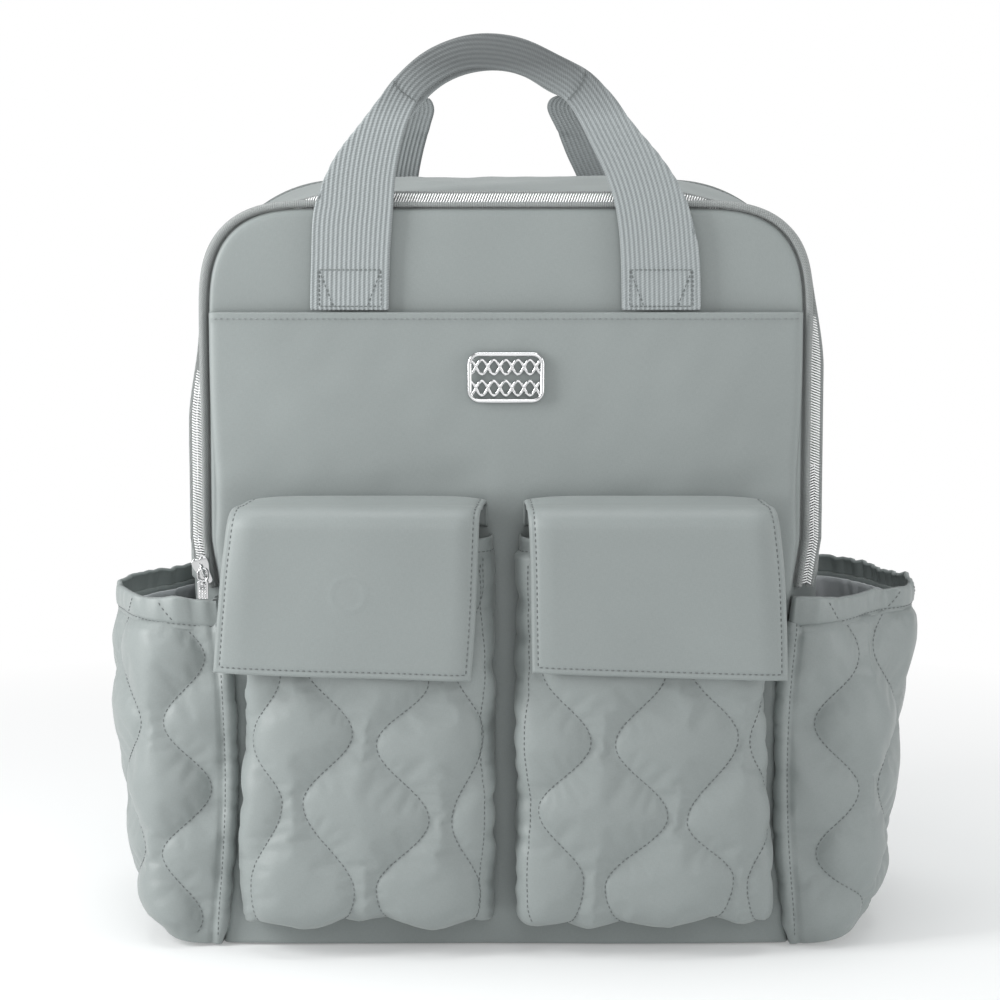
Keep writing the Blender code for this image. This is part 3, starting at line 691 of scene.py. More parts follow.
def soft_light(name, energy, size, spot, aim=(0, 0, 0.2)):
    lamp = bpy.data.lights.new(name, "AREA")
    lamp.shape, lamp.size, lamp.size_y, lamp.energy = "RECTANGLE", *size, energy
    light = bpy.data.objects.new(name, lamp)
    bpy.context.scene.collection.objects.link(light)
    light.location = spot
    light.rotation_euler = (Vector(aim) - Vector(spot)).to_track_quat("-Z", "Y").to_euler()


def studio():
    scene = bpy.context.scene
    scene.view_settings.view_transform = "Standard"
    scene.world = bpy.data.worlds.new("studio")
    scene.world.use_nodes = True
    tree = scene.world.node_tree
    room = tree.nodes["Background"]
    room.inputs["Color"].default_value = (0.97, 0.99, 1.0, 1)
    room.inputs["Strength"].default_value = ROOM_LIGHT
    backdrop = tree.nodes.new("ShaderNodeBackground")
    backdrop.inputs["Color"].default_value = (1, 1, 1, 1)
    mix = tree.nodes.new("ShaderNodeMixShader")
    tree.links.new(tree.nodes.new("ShaderNodeLightPath").outputs["Is Camera Ray"], mix.inputs[0])
    tree.links.new(room.outputs[0], mix.inputs[1])
    tree.links.new(backdrop.outputs[0], mix.inputs[2])
    tree.links.new(mix.outputs[0], tree.nodes["World Output"].inputs[0])
    for name, energy, size, spot in STUDIO_LIGHTS:
        soft_light(name, energy, size, spot)
    mesh = bpy.data.meshes.new("floor")
    form = bmesh.new()
    bmesh.ops.create_circle(form, cap_ends=True, radius=12, segments=96)
    form.to_mesh(mesh)
    form.free()
    paint = Paint("floor_white", (0.86, 0.875, 0.875), 0.6)
    far = paint.add("ShaderNodeVectorMath", {0: paint.space()}, operation="LENGTH").outputs["Value"]
    share = paint.add("ShaderNodeMapRange", {"Value": far, "From Min": 0.30, "From Max": 0.80,
                                             "To Min": 0.25, "To Max": 1.0}).outputs[0]
    white = paint.add("ShaderNodeEmission", {"Color": (1, 1, 1, 1), "Strength": 1.0}).outputs[0]
    mix = paint.add("ShaderNodeMixShader", {0: share, 1: paint.shader.outputs[0], 2: white}).outputs[0]
    paint.tree.links.new(mix, paint.tree.nodes["Material Output"].inputs[0])
    floor = link("floor", mesh, paint.material)
    floor.location.z = -0.0004


camera()
studio()


# ---------------------------------------------------------------- front
def front_point(x, z, depth, seed, lift=0.0):
    """Depth of a front sheet with a slow waviness that dies out at the edges."""
    return depth - lift + 0.0005 * ripple(x, z, seed, 0.16) + 0.00018 * ripple(x, z, seed + 1, 0.035)


def slip_panel():
    """The slip pocket's sheet, sewn into the side seams and the base, open along its top hem."""
    rim = SLIP_TOP - np.array([0.003, 0.002, 0.001, 0.0004, 0])
    z = np.r_[np.linspace(0.0012, SLIP_TOP - 0.004, 190), rim]
    edge = half_width(z) - 0.0008 - 0.0026 * hump(z - 0.232, 0.034)
    t = np.linspace(-1, 1, 200)
    t = np.sign(t) * (1 - (1 - np.abs(t)) ** 1.25)
    x = edge[:, None] * t
    height = np.broadcast_to(z[:, None], x.shape)
    inside = (1 - np.abs(t)) * edge[:, None]
    roll = rolled(inside, 0.0055, 2.2)
    full = 0.55 * np.sqrt(roll) + 0.45 * (rolled(inside, 0.050))
    y = lerp(PANEL_Y - 0.0010, front_point(x, height, SLIP_Y + 0.0008, 3), full)
    # the cloth pulls a little where the flaps and pockets are sewn down
    y += 0.0006 * hump(height - 0.238, 0.012) * ripple(x, height, 9, 0.05)
    hem = ease((z - (SLIP_TOP - 0.0042)) / 0.0008)[:, None]
    y -= 0.0004 * hem
    points = np.stack([x, y, height], -1)
    panel = link("slip_pocket_panel", sheet_mesh(points, 0.0014), SHELL)
    fold(panel, "shell_fabric", "slip_pocket_lower", "slip_pocket_upper")
    patch = Patch(points)
    columns = np.linspace(3, 196, 420)
    row = np.interp(SLIP_TOP - 0.0028, z, np.arange(len(z)))
    runs = [patch.line(row, columns)]
    seams = link("slip_pocket_stitching", stitch_mesh(runs), LIGHT_THREAD)
    fold(seams, "shell_fabric")


def front_panel():
    """The front behind the slip pocket, up to the zip, with its edge rolled onto the tape."""
    share = np.r_[0.0, 0.004, 0.010, 0.020, 0.035, 0.06, np.linspace(0.10, 1, 26)]
    x, z, inside = fan(-0.0008, 0.0015, share)
    roll = rolled(inside, 0.0036)
    y = lerp(PANEL_Y + 0.0014, front_point(x, z, PANEL_Y - 0.0003, 21), np.sqrt(roll))
    panel = link("front_panel", sheet_mesh(np.stack([x, y, z], -1)[:, ::-1], 0.0012), SHELL)
    fold(panel, "shell_fabric", "front_lower_panel", "front_upper_panel")


def linings():
    lid = arch(-0.0062, 0.2330, side=50, turn=24, top=40)
    share = np.linspace(0, 1, 16)[:, None]
    x = lid[:, 0][None] * (1 - share)
    z = lerp(lid[:, 1][None], 0.290, share)
    y = -0.0790 + 0.0003 * ripple(x, z, 5, 0.06)
    piece = link("lid_inner_lining", sheet_mesh(np.stack([x, y, z], -1), 0.0007), LINING)
    fold(piece, "lining_fabric", "lid_lining")
    inset = 0.0047
    depth = np.linspace(-0.0783, 0.0786, 40)
    rows = []
    for y in depth:
        line = arch(float(swell(y, 0)) - inset, 0.0070, side=70, fullness=fullness_at(y))
        wrinkle = 0.0008 * ripple(line[:, 0] + line[:, 1], np.full(len(line), y), 31, 0.06)
        rows.append(at_depth(line, y) * np.stack([1 - abs(wrinkle), 0 * wrinkle + 1, 0 * wrinkle + 1], 1))
    band = sheet_mesh(tucked(np.array(rows)), 0.0008)
    meshes = [band]
    for y, top, back in ((-0.0779, LID_Z, False), (0.0782, HEIGHT + 0.004, True)):
        z = np.linspace(0.0070, top, 60)
        reach = half_width(z) + float(swell(y, 0)) - inset
        high = z > HEIGHT - CORNER_R
        radius = CORNER_R + float(swell(y, 0)) - inset
        drop = np.clip((z - (HEIGHT - CORNER_R)) / (radius - 0.001), 0, 1)
        reach = np.where(high, HALF_W - CORNER_R + radius * np.sqrt(1 - drop**2), reach)
        x = reach[:, None] * np.linspace(-1, 1, 50)
        depth = y + 0.0006 * ripple(x, z[:, None] + 0 * x, 41, 0.08)
        points = np.stack([x, depth, z[:, None] + 0 * x], -1)
        meshes.append(sheet_mesh(points[:, ::-1] if back else points, 0.0008))
    y = np.linspace(-0.0779, 0.0782, 30)
    x = (half_width(0.007) + swell(y, 0) - inset)[:, None] * np.linspace(-1, 1, 50)
    points = np.stack([x, y[:, None] + 0 * x, 0.0072 + 0 * x], -1)
    meshes.append(sheet_mesh(points, 0.0006))
    place(merged("main_compartment_lining", meshes, LINING), "bag", "lining_fabric", "main_lining")


def organiser():
    theta = np.linspace(0, PI, 90)
    z = np.linspace(0.060, 0.210, 50)
    around = np.sign(np.cos(theta)) * np.abs(np.cos(theta)) ** 0.3
    x = np.broadcast_to(-0.105 * around, (50, 90))
    full = ease((z - 0.060) / 0.02)[:, None] ** 0.5
    y = 0.0772 - 0.012 * full * np.sin(theta) ** 0.4
    y = y + 0.0010 * ripple(x, z[:, None], 51, 0.06) * np.sin(theta) * full
    points = np.stack([x, y, np.broadcast_to(z[:, None], x.shape)], -1)
    pocket = link("organiser_pocket", sheet_mesh(points, 0.0008), LINING)
    place(pocket, "bag", "lining_fabric", "inner_pocket")


# ---------------------------------------------------------------- gussets, base and zip
def waist_fill(y, z):
    """How much of the waist's narrowing the gusset stays out of, behind the seam and above the pockets."""
    behind = ease((y + HALF_D) / 0.034) * (1 - ease((y - 0.050) / 0.029))
    height = np.clip(np.asarray(z, float) / WAIST_TOP, 0, 1)
    return WAIST_IN * np.sin(PI * height) * behind * ease((z - 0.095) / 0.060)


def gussets():
    depth = np.r_[-0.0796, -0.0792, np.linspace(-0.0786, 0.0797, 46)]
    rows = []
    for y in depth:
        offset = float(swell(y, GUSSET_EDGE))
        line = arch(offset, ZIP_FOOT - 0.001, side=60, turn=30, top=60, fullness=fullness_at(y))
        rows.append(at_depth(line, y))
    points = np.array(rows)
    points[..., 0] += np.sign(points[..., 0]) * waist_fill(points[..., 1], points[..., 2])
    normal = normals_of(points)
    fade = np.sin(np.clip((depth + 0.0796) / 0.159, 0, 1) * PI)[:, None]
    along = cloth_uv(points)[..., 0]
    wave = 0.0011 * fade * ripple(along, points[..., 1], 61, 0.09)
    wave += 0.0004 * fade**0.5 * ripple(along, points[..., 1], 62, 0.03)
    points = points + normal * wave[..., None]
    points[0] -= normal[0] * 0.0010
    points[1] -= normal[1] * 0.0004
    points = tucked(points)
    place(link("gusset_band", sheet_mesh(points, FABRIC), SHELL), "bag", "shell_fabric", "upper_gusset")
    patch = Patch(points)
    columns = np.linspace(1, points.shape[1] - 2, 900)
    runs = []
    for y in (-0.0735, 0.0745):
        row = np.interp(y, depth, np.arange(len(depth)))
        runs.append(patch.line(row, columns))
    sew("gusset_stitching", runs, "bag", "shell_fabric", thread=LIGHT_THREAD)
    for side, sign in SIDES:
        z = np.linspace(0.0034, ZIP_FOOT - 0.0003, 60)[:, None]
        y = np.linspace(-0.0797, 0.0797, 40)[None]
        x = half_width(z) + swell(y, 0) + waist_fill(y, z) + 0.0006 * ripple(y, z, 71, 0.07)
        points = np.stack([sign * x, y + 0 * z, z + 0 * y], -1)
        points = points if sign > 0 else points[:, ::-1]
        piece = link(f"side_panel_{side}", sheet_mesh(points, FABRIC), SHELL)
        place(piece, "bag", "shell_fabric", f"side_gusset_{side}")


def base():
    """Base panel with a corded seam round its foot."""
    y = np.linspace(-HALF_D + 0.0006, HALF_D - 0.0006, 60)
    x = (FOOT_HALF_W + swell(y, 0))[:, None] * np.linspace(-1, 1, 90)
    inside = np.minimum(1 - np.abs(np.linspace(-1, 1, 90))[None], 1 - np.abs(y / HALF_D)[:, None])
    z = 0.0016 - 0.0013 * ease(inside / 0.05)
    points = np.stack([x, y[:, None] + 0 * x, z], -1)[:, ::-1]
    meshes = [sheet_mesh(points, 0.0014)]
    seam_y = np.linspace(-HALF_D + 0.0005, HALF_D - 0.0005, 50)
    right = np.stack([FOOT_HALF_W + swell(seam_y, 0) - 0.0010, seam_y, np.full(50, 0.0022)], 1)
    left = right[::-1] * (-1, 1, 1)
    rim = respace(np.concatenate([right, left, right[:1]]), 420)[:-1]
    meshes.append(tube_mesh(rim, 0.0017, 10, closed=True))
    place(merged("base_and_piping", meshes, PIPING), "bag", "shell_fabric", "base_panel")


TOOTH_PITCH = 0.00135


def teeth_mesh(offset_low, offset_high, foot, shift, top=None, side=None):
    """Moulded teeth along the seam between two offsets from it; one side below a height if asked."""
    middle = (offset_low + offset_high) / 2
    line = arch(middle, foot, side=200, turn=80, top=200)
    if side:
        z = np.linspace(foot, top, 80)
        line = np.stack([side * (half_width(z) + middle), z], 1)
    line = respace(line, max(int(lengths(line)[-1] / TOOTH_PITCH), 2))
    ahead = np.gradient(line, axis=0)
    ahead /= np.linalg.norm(ahead, axis=1, keepdims=True)
    line = line + ahead * TOOTH_PITCH * shift
    out = np.stack([-ahead[:, 1], ahead[:, 0]], 1)
    if side and side > 0:
        out = -out
    slant = out + ahead * 0.45
    across = np.array([-0.5, -0.36, 0.36, 0.5]) * (offset_high - offset_low + 0.0004)
    girth = np.array([0.62, 1.0, 1.0, 0.62])
    angle = (np.arange(8) + 0.5) * PI / 4
    wide, deep, seat = 0.00044, 0.00095, -0.0814
    spots, uv, faces = [], [], []
    for k in range(len(line)):
        for a, g in zip(across, girth):
            ring = line[k] + slant[k] * a + ahead[k] * (np.cos(angle) * wide * g)[:, None]
            spots.append(np.stack([ring[:, 0], seat + np.sin(angle) * deep * g, ring[:, 1]], 1))
            uv.append(np.stack([angle * 0.001, np.full(8, k * 0.001)], 1))
        base = k * 32
        for ring in range(3):
            for j in range(8):
                m = (j + 1) % 8
                a, b = base + ring * 8, base + (ring + 1) * 8
                faces.append((a + j, b + j, b + m, a + m))
        faces.append(tuple(base + j for j in range(8)))
        faces.append(tuple(base + 31 - j for j in range(8)))
    points = tucked(np.concatenate(spots), 0.0044, 0.0038, 0)
    return faced_out(build(points, faces, np.concatenate(uv)))


TAPE_PROFILE = (
    # offset from the seam and depth of its inner face: a groove beside the panel, then a rolled band
    (-0.0042, -0.0804), (-0.0014, -0.0798), (-0.0008, -0.0786), (0.0006, -0.0786), (0.0011, -0.0804),
    (0.0017, -0.0817), (0.0026, -0.0822), (0.0034, -0.0817), (0.0039, -0.0806), (0.0041, -0.0792),
)


def zip_parts():
    place(link("lid_zip_teeth", teeth_mesh(0.0036, 0.0061, LID_Z + 0.0008, 0.25), TEETH),
          "lid", "zip_metal", "zip_teeth_lid")
    meshes = [teeth_mesh(0.0059, 0.0083, ZIP_FOOT, -0.25)]
    for side in (-1, 1):
        meshes.append(teeth_mesh(0.0036, 0.0061, ZIP_FOOT, 0.25, LID_Z - 0.0004, side))
    place(merged("bag_zip_teeth", meshes, TEETH), "bag", "zip_metal", "zip_teeth_gusset")
    rows = []
    for offset, depth in TAPE_PROFILE:
        line = arch(offset, ZIP_FOOT - 0.002, side=110, turn=34, top=60)
        rows.append(at_depth(line, depth))
    tape = link("lid_zip_tape", sheet_mesh(np.array(rows)[::-1], 0.0006), TAPE)
    fold(tape, "zip_tape", "zip_tape_lid", "zip_tape_lower_left", "zip_tape_lower_right")
    rows = []
    for offset in np.linspace(0.0062, 0.0100, 6):
        line = arch(float(offset), ZIP_FOOT - 0.002, side=60, turn=34, top=60)
        rows.append(at_depth(line, -0.0796))
    place(link("gusset_zip_tape", sheet_mesh(tucked(np.array(rows)[::-1]), 0.0005), TAPE),
          "bag", "zip_tape", "zip_tape_gusset")


# ---------------------------------------------------------------- quilting
def wavy(*knots):
    """A quilting line through its turning points (height, across), as a function of height."""
    z, x = np.array(sorted(knots)).T

    def at(v):
        i = np.clip(np.searchsorted(z, v) - 1, 0, len(z) - 2)
        t = np.clip((v - z[i]) / (z[i + 1] - z[i]), 0, 1)
        return x[i] + (x[i + 1] - x[i]) * (1 - np.cos(PI * t)) / 2

    return at


def snap(u, v, lines):
    """Moves the nearest grid column of each row onto each line, and says which points are on one."""
    u, on = u.copy(), np.zeros(u.shape, bool)
    for line in lines:
        target = line(v[:, 0])
        for row in range(len(u)):
            column = int(np.argmin(np.abs(u[row] - target[row])))
            if 0 < column < u.shape[1] - 1 and not on[row, column]:
                shift = target[row] - u[row, column]
                u[row, column] += shift
                on[row, column] = True
                for near in (-1, 1):
                    if not on[row, column + near]:
                        u[row, column + near] += shift * 0.5
    return u, on


def nearest_line(u, v, lines):
    gap = np.full(u.shape, 1.0)
    for line in lines:
        at = line(v)
        slope = (line(v + 0.001) - line(v - 0.001)) / 0.002
        gap = np.minimum(gap, np.abs(u - at) / np.sqrt(1 + slope**2))
    return gap


CLOTH_SCALE, CLOTH_FRAMES = 10, 20


def simulate(u, v, on, start, cap):
    """Blows the padding up between its stitches with Blender's cloth: how far it moves (across, out)."""
    scene = bpy.context.scene
    flat = np.stack([u, v, start], -1).reshape(-1, 3) * CLOTH_SCALE
    mesh = bpy.data.meshes.new("padding")
    mesh.from_pydata(flat.tolist(), [], grid_faces(*u.shape))
    body = bpy.data.objects.new("padding", mesh)
    scene.collection.objects.link(body)
    held = on.copy()
    held[[0, -1]] = held[:, [0, -1]] = True
    pins = body.vertex_groups.new(name="stitched")
    pins.add(np.flatnonzero(held).tolist(), 1.0, "REPLACE")
    cloth = body.modifiers.new("padding", "CLOTH")
    cloth.collision_settings.use_collision = False
    rules = cloth.settings
    rules.vertex_group_mass = "stitched"
    rules.quality, rules.mass = 5, 0.15
    rules.tension_stiffness = rules.compression_stiffness = 12
    rules.shear_stiffness, rules.bending_stiffness = 4, 1.2
    rules.shrink_min = -0.016
    rules.use_pressure, rules.uniform_pressure_force = True, 0.5
    rules.effector_weights.gravity = 0
    for step in range(1, CLOTH_FRAMES + 1):
        scene.frame_set(step)
    settled = body.evaluated_get(bpy.context.evaluated_depsgraph_get())
    spots = np.zeros(len(flat) * 3)
    settled.data.vertices.foreach_get("co", spots)
    scene.frame_set(1)
    bpy.data.objects.remove(body)
    bpy.data.meshes.remove(mesh)
    moved = (spots.reshape(*u.shape, 3) - np.stack([u, v, 0 * u], -1) * CLOTH_SCALE) / CLOTH_SCALE
    return np.clip(moved[..., 0], -cap / 3, cap / 3), np.clip(moved[..., 2], -cap / 8, cap)


def puff(u, v, lines, on, seed, crown=0.0042, edges=(0.006, 0.006)):
    """How far the padding moves (across, out) between its stitch lines."""
    gap = nearest_line(u, v, lines)
    side = np.minimum(u - u[:, :1], u[:, -1:] - u)
    out = crown * (1 - np.exp(-((gap / 0.0085) ** 1.15)))
    out *= 1 - 0.8 * np.exp(-side / edges[0])
    pucker = ripple(u * 1.0, v * 2.6, seed, 0.020) * np.exp(-gap / 0.007)
    pucker *= 0.00042 * (1 - np.exp(-gap / 0.0012))
    slack = 0.0006 * ripple(u, v, seed + 1, 0.055)
    across, out = simulate(u, v, on, 0.8 * out + 0.6 * pucker, 1.6 * crown)
    return across, out + slack


def unrolled(wall, levels, count, middle=None):
    """Rows of a wall, one for each level, evenly spaced along the cloth, with their distance along it.

    If a middle is given, the distance there is the middle's own x."""
    theta = np.linspace(0, PI, 600)
    rows, along = [], []
    for level in levels:
        dense = wall(theta, level)
        length = lengths(dense)
        at = np.linspace(0, length[-1], count)
        rows.append(np.stack([np.interp(at, length, c) for c in dense.T], 1))
        along.append(at if middle is None else at - np.interp(middle, dense[:, 0], length) + middle)
    return np.array(rows), np.array(along)


def between(rows, along, wanted):
    """The same rows read at other distances along the cloth."""
    moved = []
    for row, have, want in zip(rows, along, wanted):
        moved.append(np.stack([np.interp(want, have, c) for c in row.T], 1))
    return np.array(moved)


def quilt_runs(patch, u, v, lines, limit):
    """Stitch runs along quilting lines, where they lie on the cloth."""
    runs = []
    heights = v[:, 0]
    for line in lines:
        fine = np.linspace(limit[0], limit[1], 260)
        row = np.interp(fine, heights, np.arange(len(heights)))
        target = line(fine)
        lower = np.floor(row).astype(int).clip(0, len(u) - 2)
        share = row - lower
        column = []
        for r, f, x in zip(lower, share, target):
            columns = u[r] * (1 - f) + u[r + 1] * f
            column.append(np.interp(x, columns, np.arange(u.shape[1]), left=-1, right=-1))
        column = np.array(column)
        good = (column > 1) & (column < u.shape[1] - 2)
        edges = np.flatnonzero(np.diff(np.r_[0, good.astype(int), 0]))
        for a, b in zip(edges[::2], edges[1::2]):
            if b - a > 8:
                runs.append(patch.line(row[a:b], column[a:b]))
    return runs


# ---------------------------------------------------------------- cargo pockets
QUILT_LEFT = (
    wavy((-0.02, -0.046), (0.0353, -0.0654), (0.0713, -0.0387),
         (0.1101, -0.0649), (0.1416, -0.0387), (0.18, -0.064)),
    wavy((-0.02, -0.098), (0.0333, -0.0764), (0.0800, -0.1019),
         (0.1157, -0.0769), (0.1520, -0.1010), (0.19, -0.076)),
    wavy((-0.02, -0.030), (0.0330, -0.0120), (0.0703, -0.0272),
         (0.1142, -0.0100), (0.1500, -0.0260), (0.19, -0.011)),
    wavy((-0.02, -0.115), (0.0360, -0.1300), (0.0800, -0.1125),
         (0.1110, -0.1290), (0.1450, -0.1130), (0.19, -0.128)),
)
QUILT_RIGHT = (
    wavy((-0.02, 0.018), (0.0400, 0.0392), (0.0759, 0.0162),
         (0.1110, 0.0426), (0.1480, 0.0180), (0.19, 0.042)),
    wavy((-0.02, 0.080), (0.0369, 0.0500), (0.0733, 0.0813),
         (0.1100, 0.0549), (0.1470, 0.0800), (0.19, 0.055)),
    wavy((-0.02, 0.090), (0.0410, 0.1147), (0.0703, 0.0911),
         (0.1132, 0.1166), (0.1500, 0.0920), (0.19, 0.116)),
    wavy((-0.02, 0.140), (0.0370, 0.1220), (0.0740, 0.1400),
         (0.1110, 0.1230), (0.1480, 0.1400), (0.19, 0.123)),
)
POCKET_MIDDLE = sum(POCKET_X) / 2
CARGO_SEAM_COLUMN, CARGO_HEM = 17.5, 0.0075


def cargo_wall(theta, z, full):
    """A right-hand cargo pocket's outer face, round from its inner edge, as rows (x, y, z)."""
    level = ease((z - POCKET_FLOOR) / 0.030)
    slack = 1 - 0.10 * ease((z - 0.14) / (POCKET_MOUTH - 0.14))
    reach = (POCKET_X[1] - POCKET_X[0]) / 2 - 0.0010
    around = np.sign(np.cos(theta)) * np.abs(np.cos(theta)) ** 0.38
    flare = 0.0046 * (1 - ease((z - 0.030) / 0.11)) * (0.35 + 0.65 * full)
    x = POCKET_MIDDLE - (reach - 0.001 * (1 - level)) * around
    x = x + np.where(around < 0, -around * (flare + 0.0012), around * 0.0006)
    y = POCKET_BACK_Y - (POCKET_PUFF - 0.0035) * slack * full * np.sin(theta) ** 0.42
    return np.stack([x, y, np.full(len(theta), z)], 1)


def cargo_pocket(side, sign):
    lines = QUILT_LEFT if sign < 0 else QUILT_RIGHT
    bend = np.linspace(0.0, PI / 2, 16)
    bottom = POCKET_FLOOR - 0.0052 * np.sin(2 * bend) ** 0.8 + 0.0070 * (1 - np.cos(bend))
    heights = np.r_[bottom[:-1], np.linspace(bottom[-1], POCKET_MOUTH, 108)]
    fullness = np.r_[np.sin(bend[:-1]) ** 0.8, np.ones(108)]
    length_down = np.r_[0, np.cumsum(np.hypot(np.diff(heights), np.diff(fullness) * POCKET_PUFF))]
    count = 132
    levels = list(zip(heights, fullness))
    rows, along = unrolled(lambda theta, level: cargo_wall(theta, *level), levels, count, POCKET_MIDDLE)
    if sign < 0:
        rows, along = rows[:, ::-1] * (-1, 1, 1), -along[:, ::-1]
    v = np.broadcast_to((length_down - length_down[-1] + POCKET_MOUTH)[:, None], along.shape)
    u, on = snap(along, v, lines)
    base = between(rows, along, u)
    across, out = puff(u, v, lines, on, 100 if sign < 0 else 200)
    settle = ease(length_down / 0.014)[:, None]
    hem = ease((heights - (POCKET_MOUTH - CARGO_HEM)) / 0.001)[:, None]
    out = out * settle * (1 - hem) + 0.0014 * hem
    points = base + normals_of(base) * out[..., None]
    points[..., 0] += across
    low_down = ease((0.05 - heights) / 0.03)[:, None]
    points[..., 2] += 0.0022 * ripple(points[..., 0], 0 * out, 140 + sign, 0.07) * low_down
    piece = link(f"quilted_pocket_{side}", sheet_mesh(points, 0.0016), QUILTED)
    place(piece, "bag", "quilted_fabric", f"cargo_pocket_{side}")
    patch = Patch(points)
    runs = quilt_runs(patch, u, v, lines, (v[3, 0], POCKET_MOUTH - 0.009))
    columns = np.linspace(1.5, count - 2.5, 300)
    runs.append(patch.line(len(heights) - 4.6, columns))
    inner = np.linspace(10, len(heights) - 8, 260)
    edge = CARGO_SEAM_COLUMN if sign > 0 else count - 1 - CARGO_SEAM_COLUMN
    runs.append(patch.line(inner, np.full(260, edge)))
    sew(f"quilted_pocket_stitching_{side}", runs, "bag", "quilted_fabric", QUILT_STITCH)


# ---------------------------------------------------------------- flaps
FLAP_SIDES = {
    # share of the way down, outer edge, inner edge, of each flap
    "left": ((0, 0.1270, 0.0092), (0.20, 0.1364, 0.0122), (0.42, 0.1404, 0.0134), (0.72, 0.1436, 0.0148),
             (1, 0.1460, 0.0170)),
    "right": ((0, 0.1278, 0.0088), (0.16, 0.1330, 0.0100), (0.40, 0.1371, 0.0114), (0.75, 0.1397, 0.0123),
              (1, 0.1404, 0.0128)),
}
FLAP_HEM, MAGNET_SPOT = 0.0030, (0.078, 0.188)


def flap_line():
    """Outer face of a flap from its seam up the front, over the fold and down to its hem, as (y, z)."""
    y, z = FLAP_HINGE[0] + 0.0005, FLAP_HINGE[1] + 0.0016
    centre = np.array((FLAP_FRONT_Y + FLAP_FOLD_R, z - 0.0022 - FLAP_FOLD_R))
    turn = np.linspace(PI / 2, PI, 14)
    bow = np.c_[centre[0] + FLAP_FOLD_R * np.cos(turn), centre[1] + FLAP_FOLD_R * np.sin(turn)]
    root = [(y + 0.0006, z - 0.0130), (y, z - 0.0060), (y - 0.0016, z - 0.0014), (y - 0.0048, z + 0.0002)]
    fall = np.c_[np.full(8, FLAP_FRONT_Y), np.linspace(centre[1] - 0.009, FLAP_END_Z, 8)]
    return respace(smooth(np.r_[root, bow, fall], 400), 130)


def flap(side, sign):
    profile = flap_line()
    along = lengths(profile)
    start = np.interp(-FLAP_HINGE[0] + 0.004, -profile[:, 0], along)
    share = np.clip((along - start) / (along[-1] - start), 0, 1)
    knots = np.array(FLAP_SIDES[side])
    edges = smooth(knots, 200)
    outer = np.interp(share, edges[:, 0], edges[:, 1])
    inner = np.interp(share, edges[:, 0], edges[:, 2])
    t = np.linspace(0, 1, 110)
    t = 0.5 - 0.5 * np.cos(PI * t) * (1 - 0.25 * np.sin(PI * t))
    x = lerp(inner[:, None], outer[:, None], t[None])
    tilt = 0.0040 if side == "left" else -0.0040
    y = np.broadcast_to(profile[:, :1], x.shape).copy()
    z = np.broadcast_to(profile[:, 1:], x.shape).copy()
    down = ease((share - 0.25) / 0.75)[:, None]
    z = z - tilt * down * (0.5 - t[None])
    hang = ease(share / 0.5)[:, None]
    y -= 0.0016 * hang * ripple(x, z, 300 + sign, 0.11) * 0.6
    y -= 0.0012 * np.sin(PI * t)[None] * ease(share / 0.3)[:, None]
    curl = 0.0045 * (1 - np.clip(t / 0.10, 0, 1)) ** 2 + 0.0060 * (1 - np.clip((1 - t) / 0.12, 0, 1)) ** 2
    y += curl[None] * ease(share / 0.15)[:, None] * (1 - 0.45 * down)
    z -= 0.0022 * ((2 * t - 1) ** 6)[None] * (1 - ease(share / 0.35))[:, None]
    if side == "left":
        # the magnet behind the left flap shows through as a faint ring
        ring = np.hypot(x - MAGNET_SPOT[0], z - MAGNET_SPOT[1])
        y -= 0.00022 * hump(ring - 0.0085, 0.0012)
    foot = (along[-1] - along)[:, None]
    rim = np.minimum(np.minimum((x - inner[:, None]), (outer[:, None] - x)), foot)
    groove = hump(rim - FLAP_HEM, 0.0007)
    groove = groove * (share > 0.02)[:, None]
    roll = rolled(rim, 0.0016)
    points = np.stack([sign * x, y, z], -1)
    if normals_of(points)[60, 50, 1] > 0:
        points, groove, roll = points[:, ::-1], groove[:, ::-1], roll[:, ::-1]
    normal = normals_of(points)
    points = points - normal * (0.00045 * groove + 0.0006 * (1 - roll))[..., None]
    piece = link(f"pocket_flap_{side}", sheet_mesh(points, FLAP_T - 0.0004), SHELL)
    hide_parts(f"flap_{side}")
    bodies = ("bag", f"{side}_flap")
    hinge_y, hinge_z = FLAP_HINGE
    hinge = dict(start=(0, hinge_y - 0.0006, hinge_z), end=(0, hinge_y - 0.0090, hinge_z))
    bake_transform(piece)
    patch = Patch(points)
    rows = np.arange(len(profile))
    top_row = np.interp(0.03, share, rows)
    foot_row = np.interp(along[-1] - FLAP_HEM, along, rows)
    across = np.abs(points[..., 0] - points[:, :1, 0])

    def column(row, inset, far):
        line = across[int(round(row))]
        return np.interp(line[-1] - inset if far else inset, line, np.arange(len(line)))

    down_rows = np.linspace(top_row, foot_row, 240)
    runs = []
    for far in (False, True):
        runs.append(patch.line(down_rows, [column(r, FLAP_HEM, far) for r in down_rows]))
    ends = [column(foot_row, FLAP_HEM, far) for far in (False, True)]
    runs.append(patch.line(foot_row, np.linspace(*ends, 240)))
    seams = link(f"pocket_flap_stitching_{side}", stitch_mesh(runs, *FLAP_STITCH), THREAD)
    fold(seams, "shell_fabric", bodies=bodies, **hinge)


# ---------------------------------------------------------------- side pockets
SIDE_QUILT_FIRST, SIDE_QUILT_STEP, SIDE_QUILT_SWING = {-1: 0.0300, 1: 0.0366}, 0.0370, 0.0118
SIDE_QUILT_TOP, SIDE_QUILT_PERIOD, SIDE_SEAM_COLUMN = 0.151, 0.069, 7.6


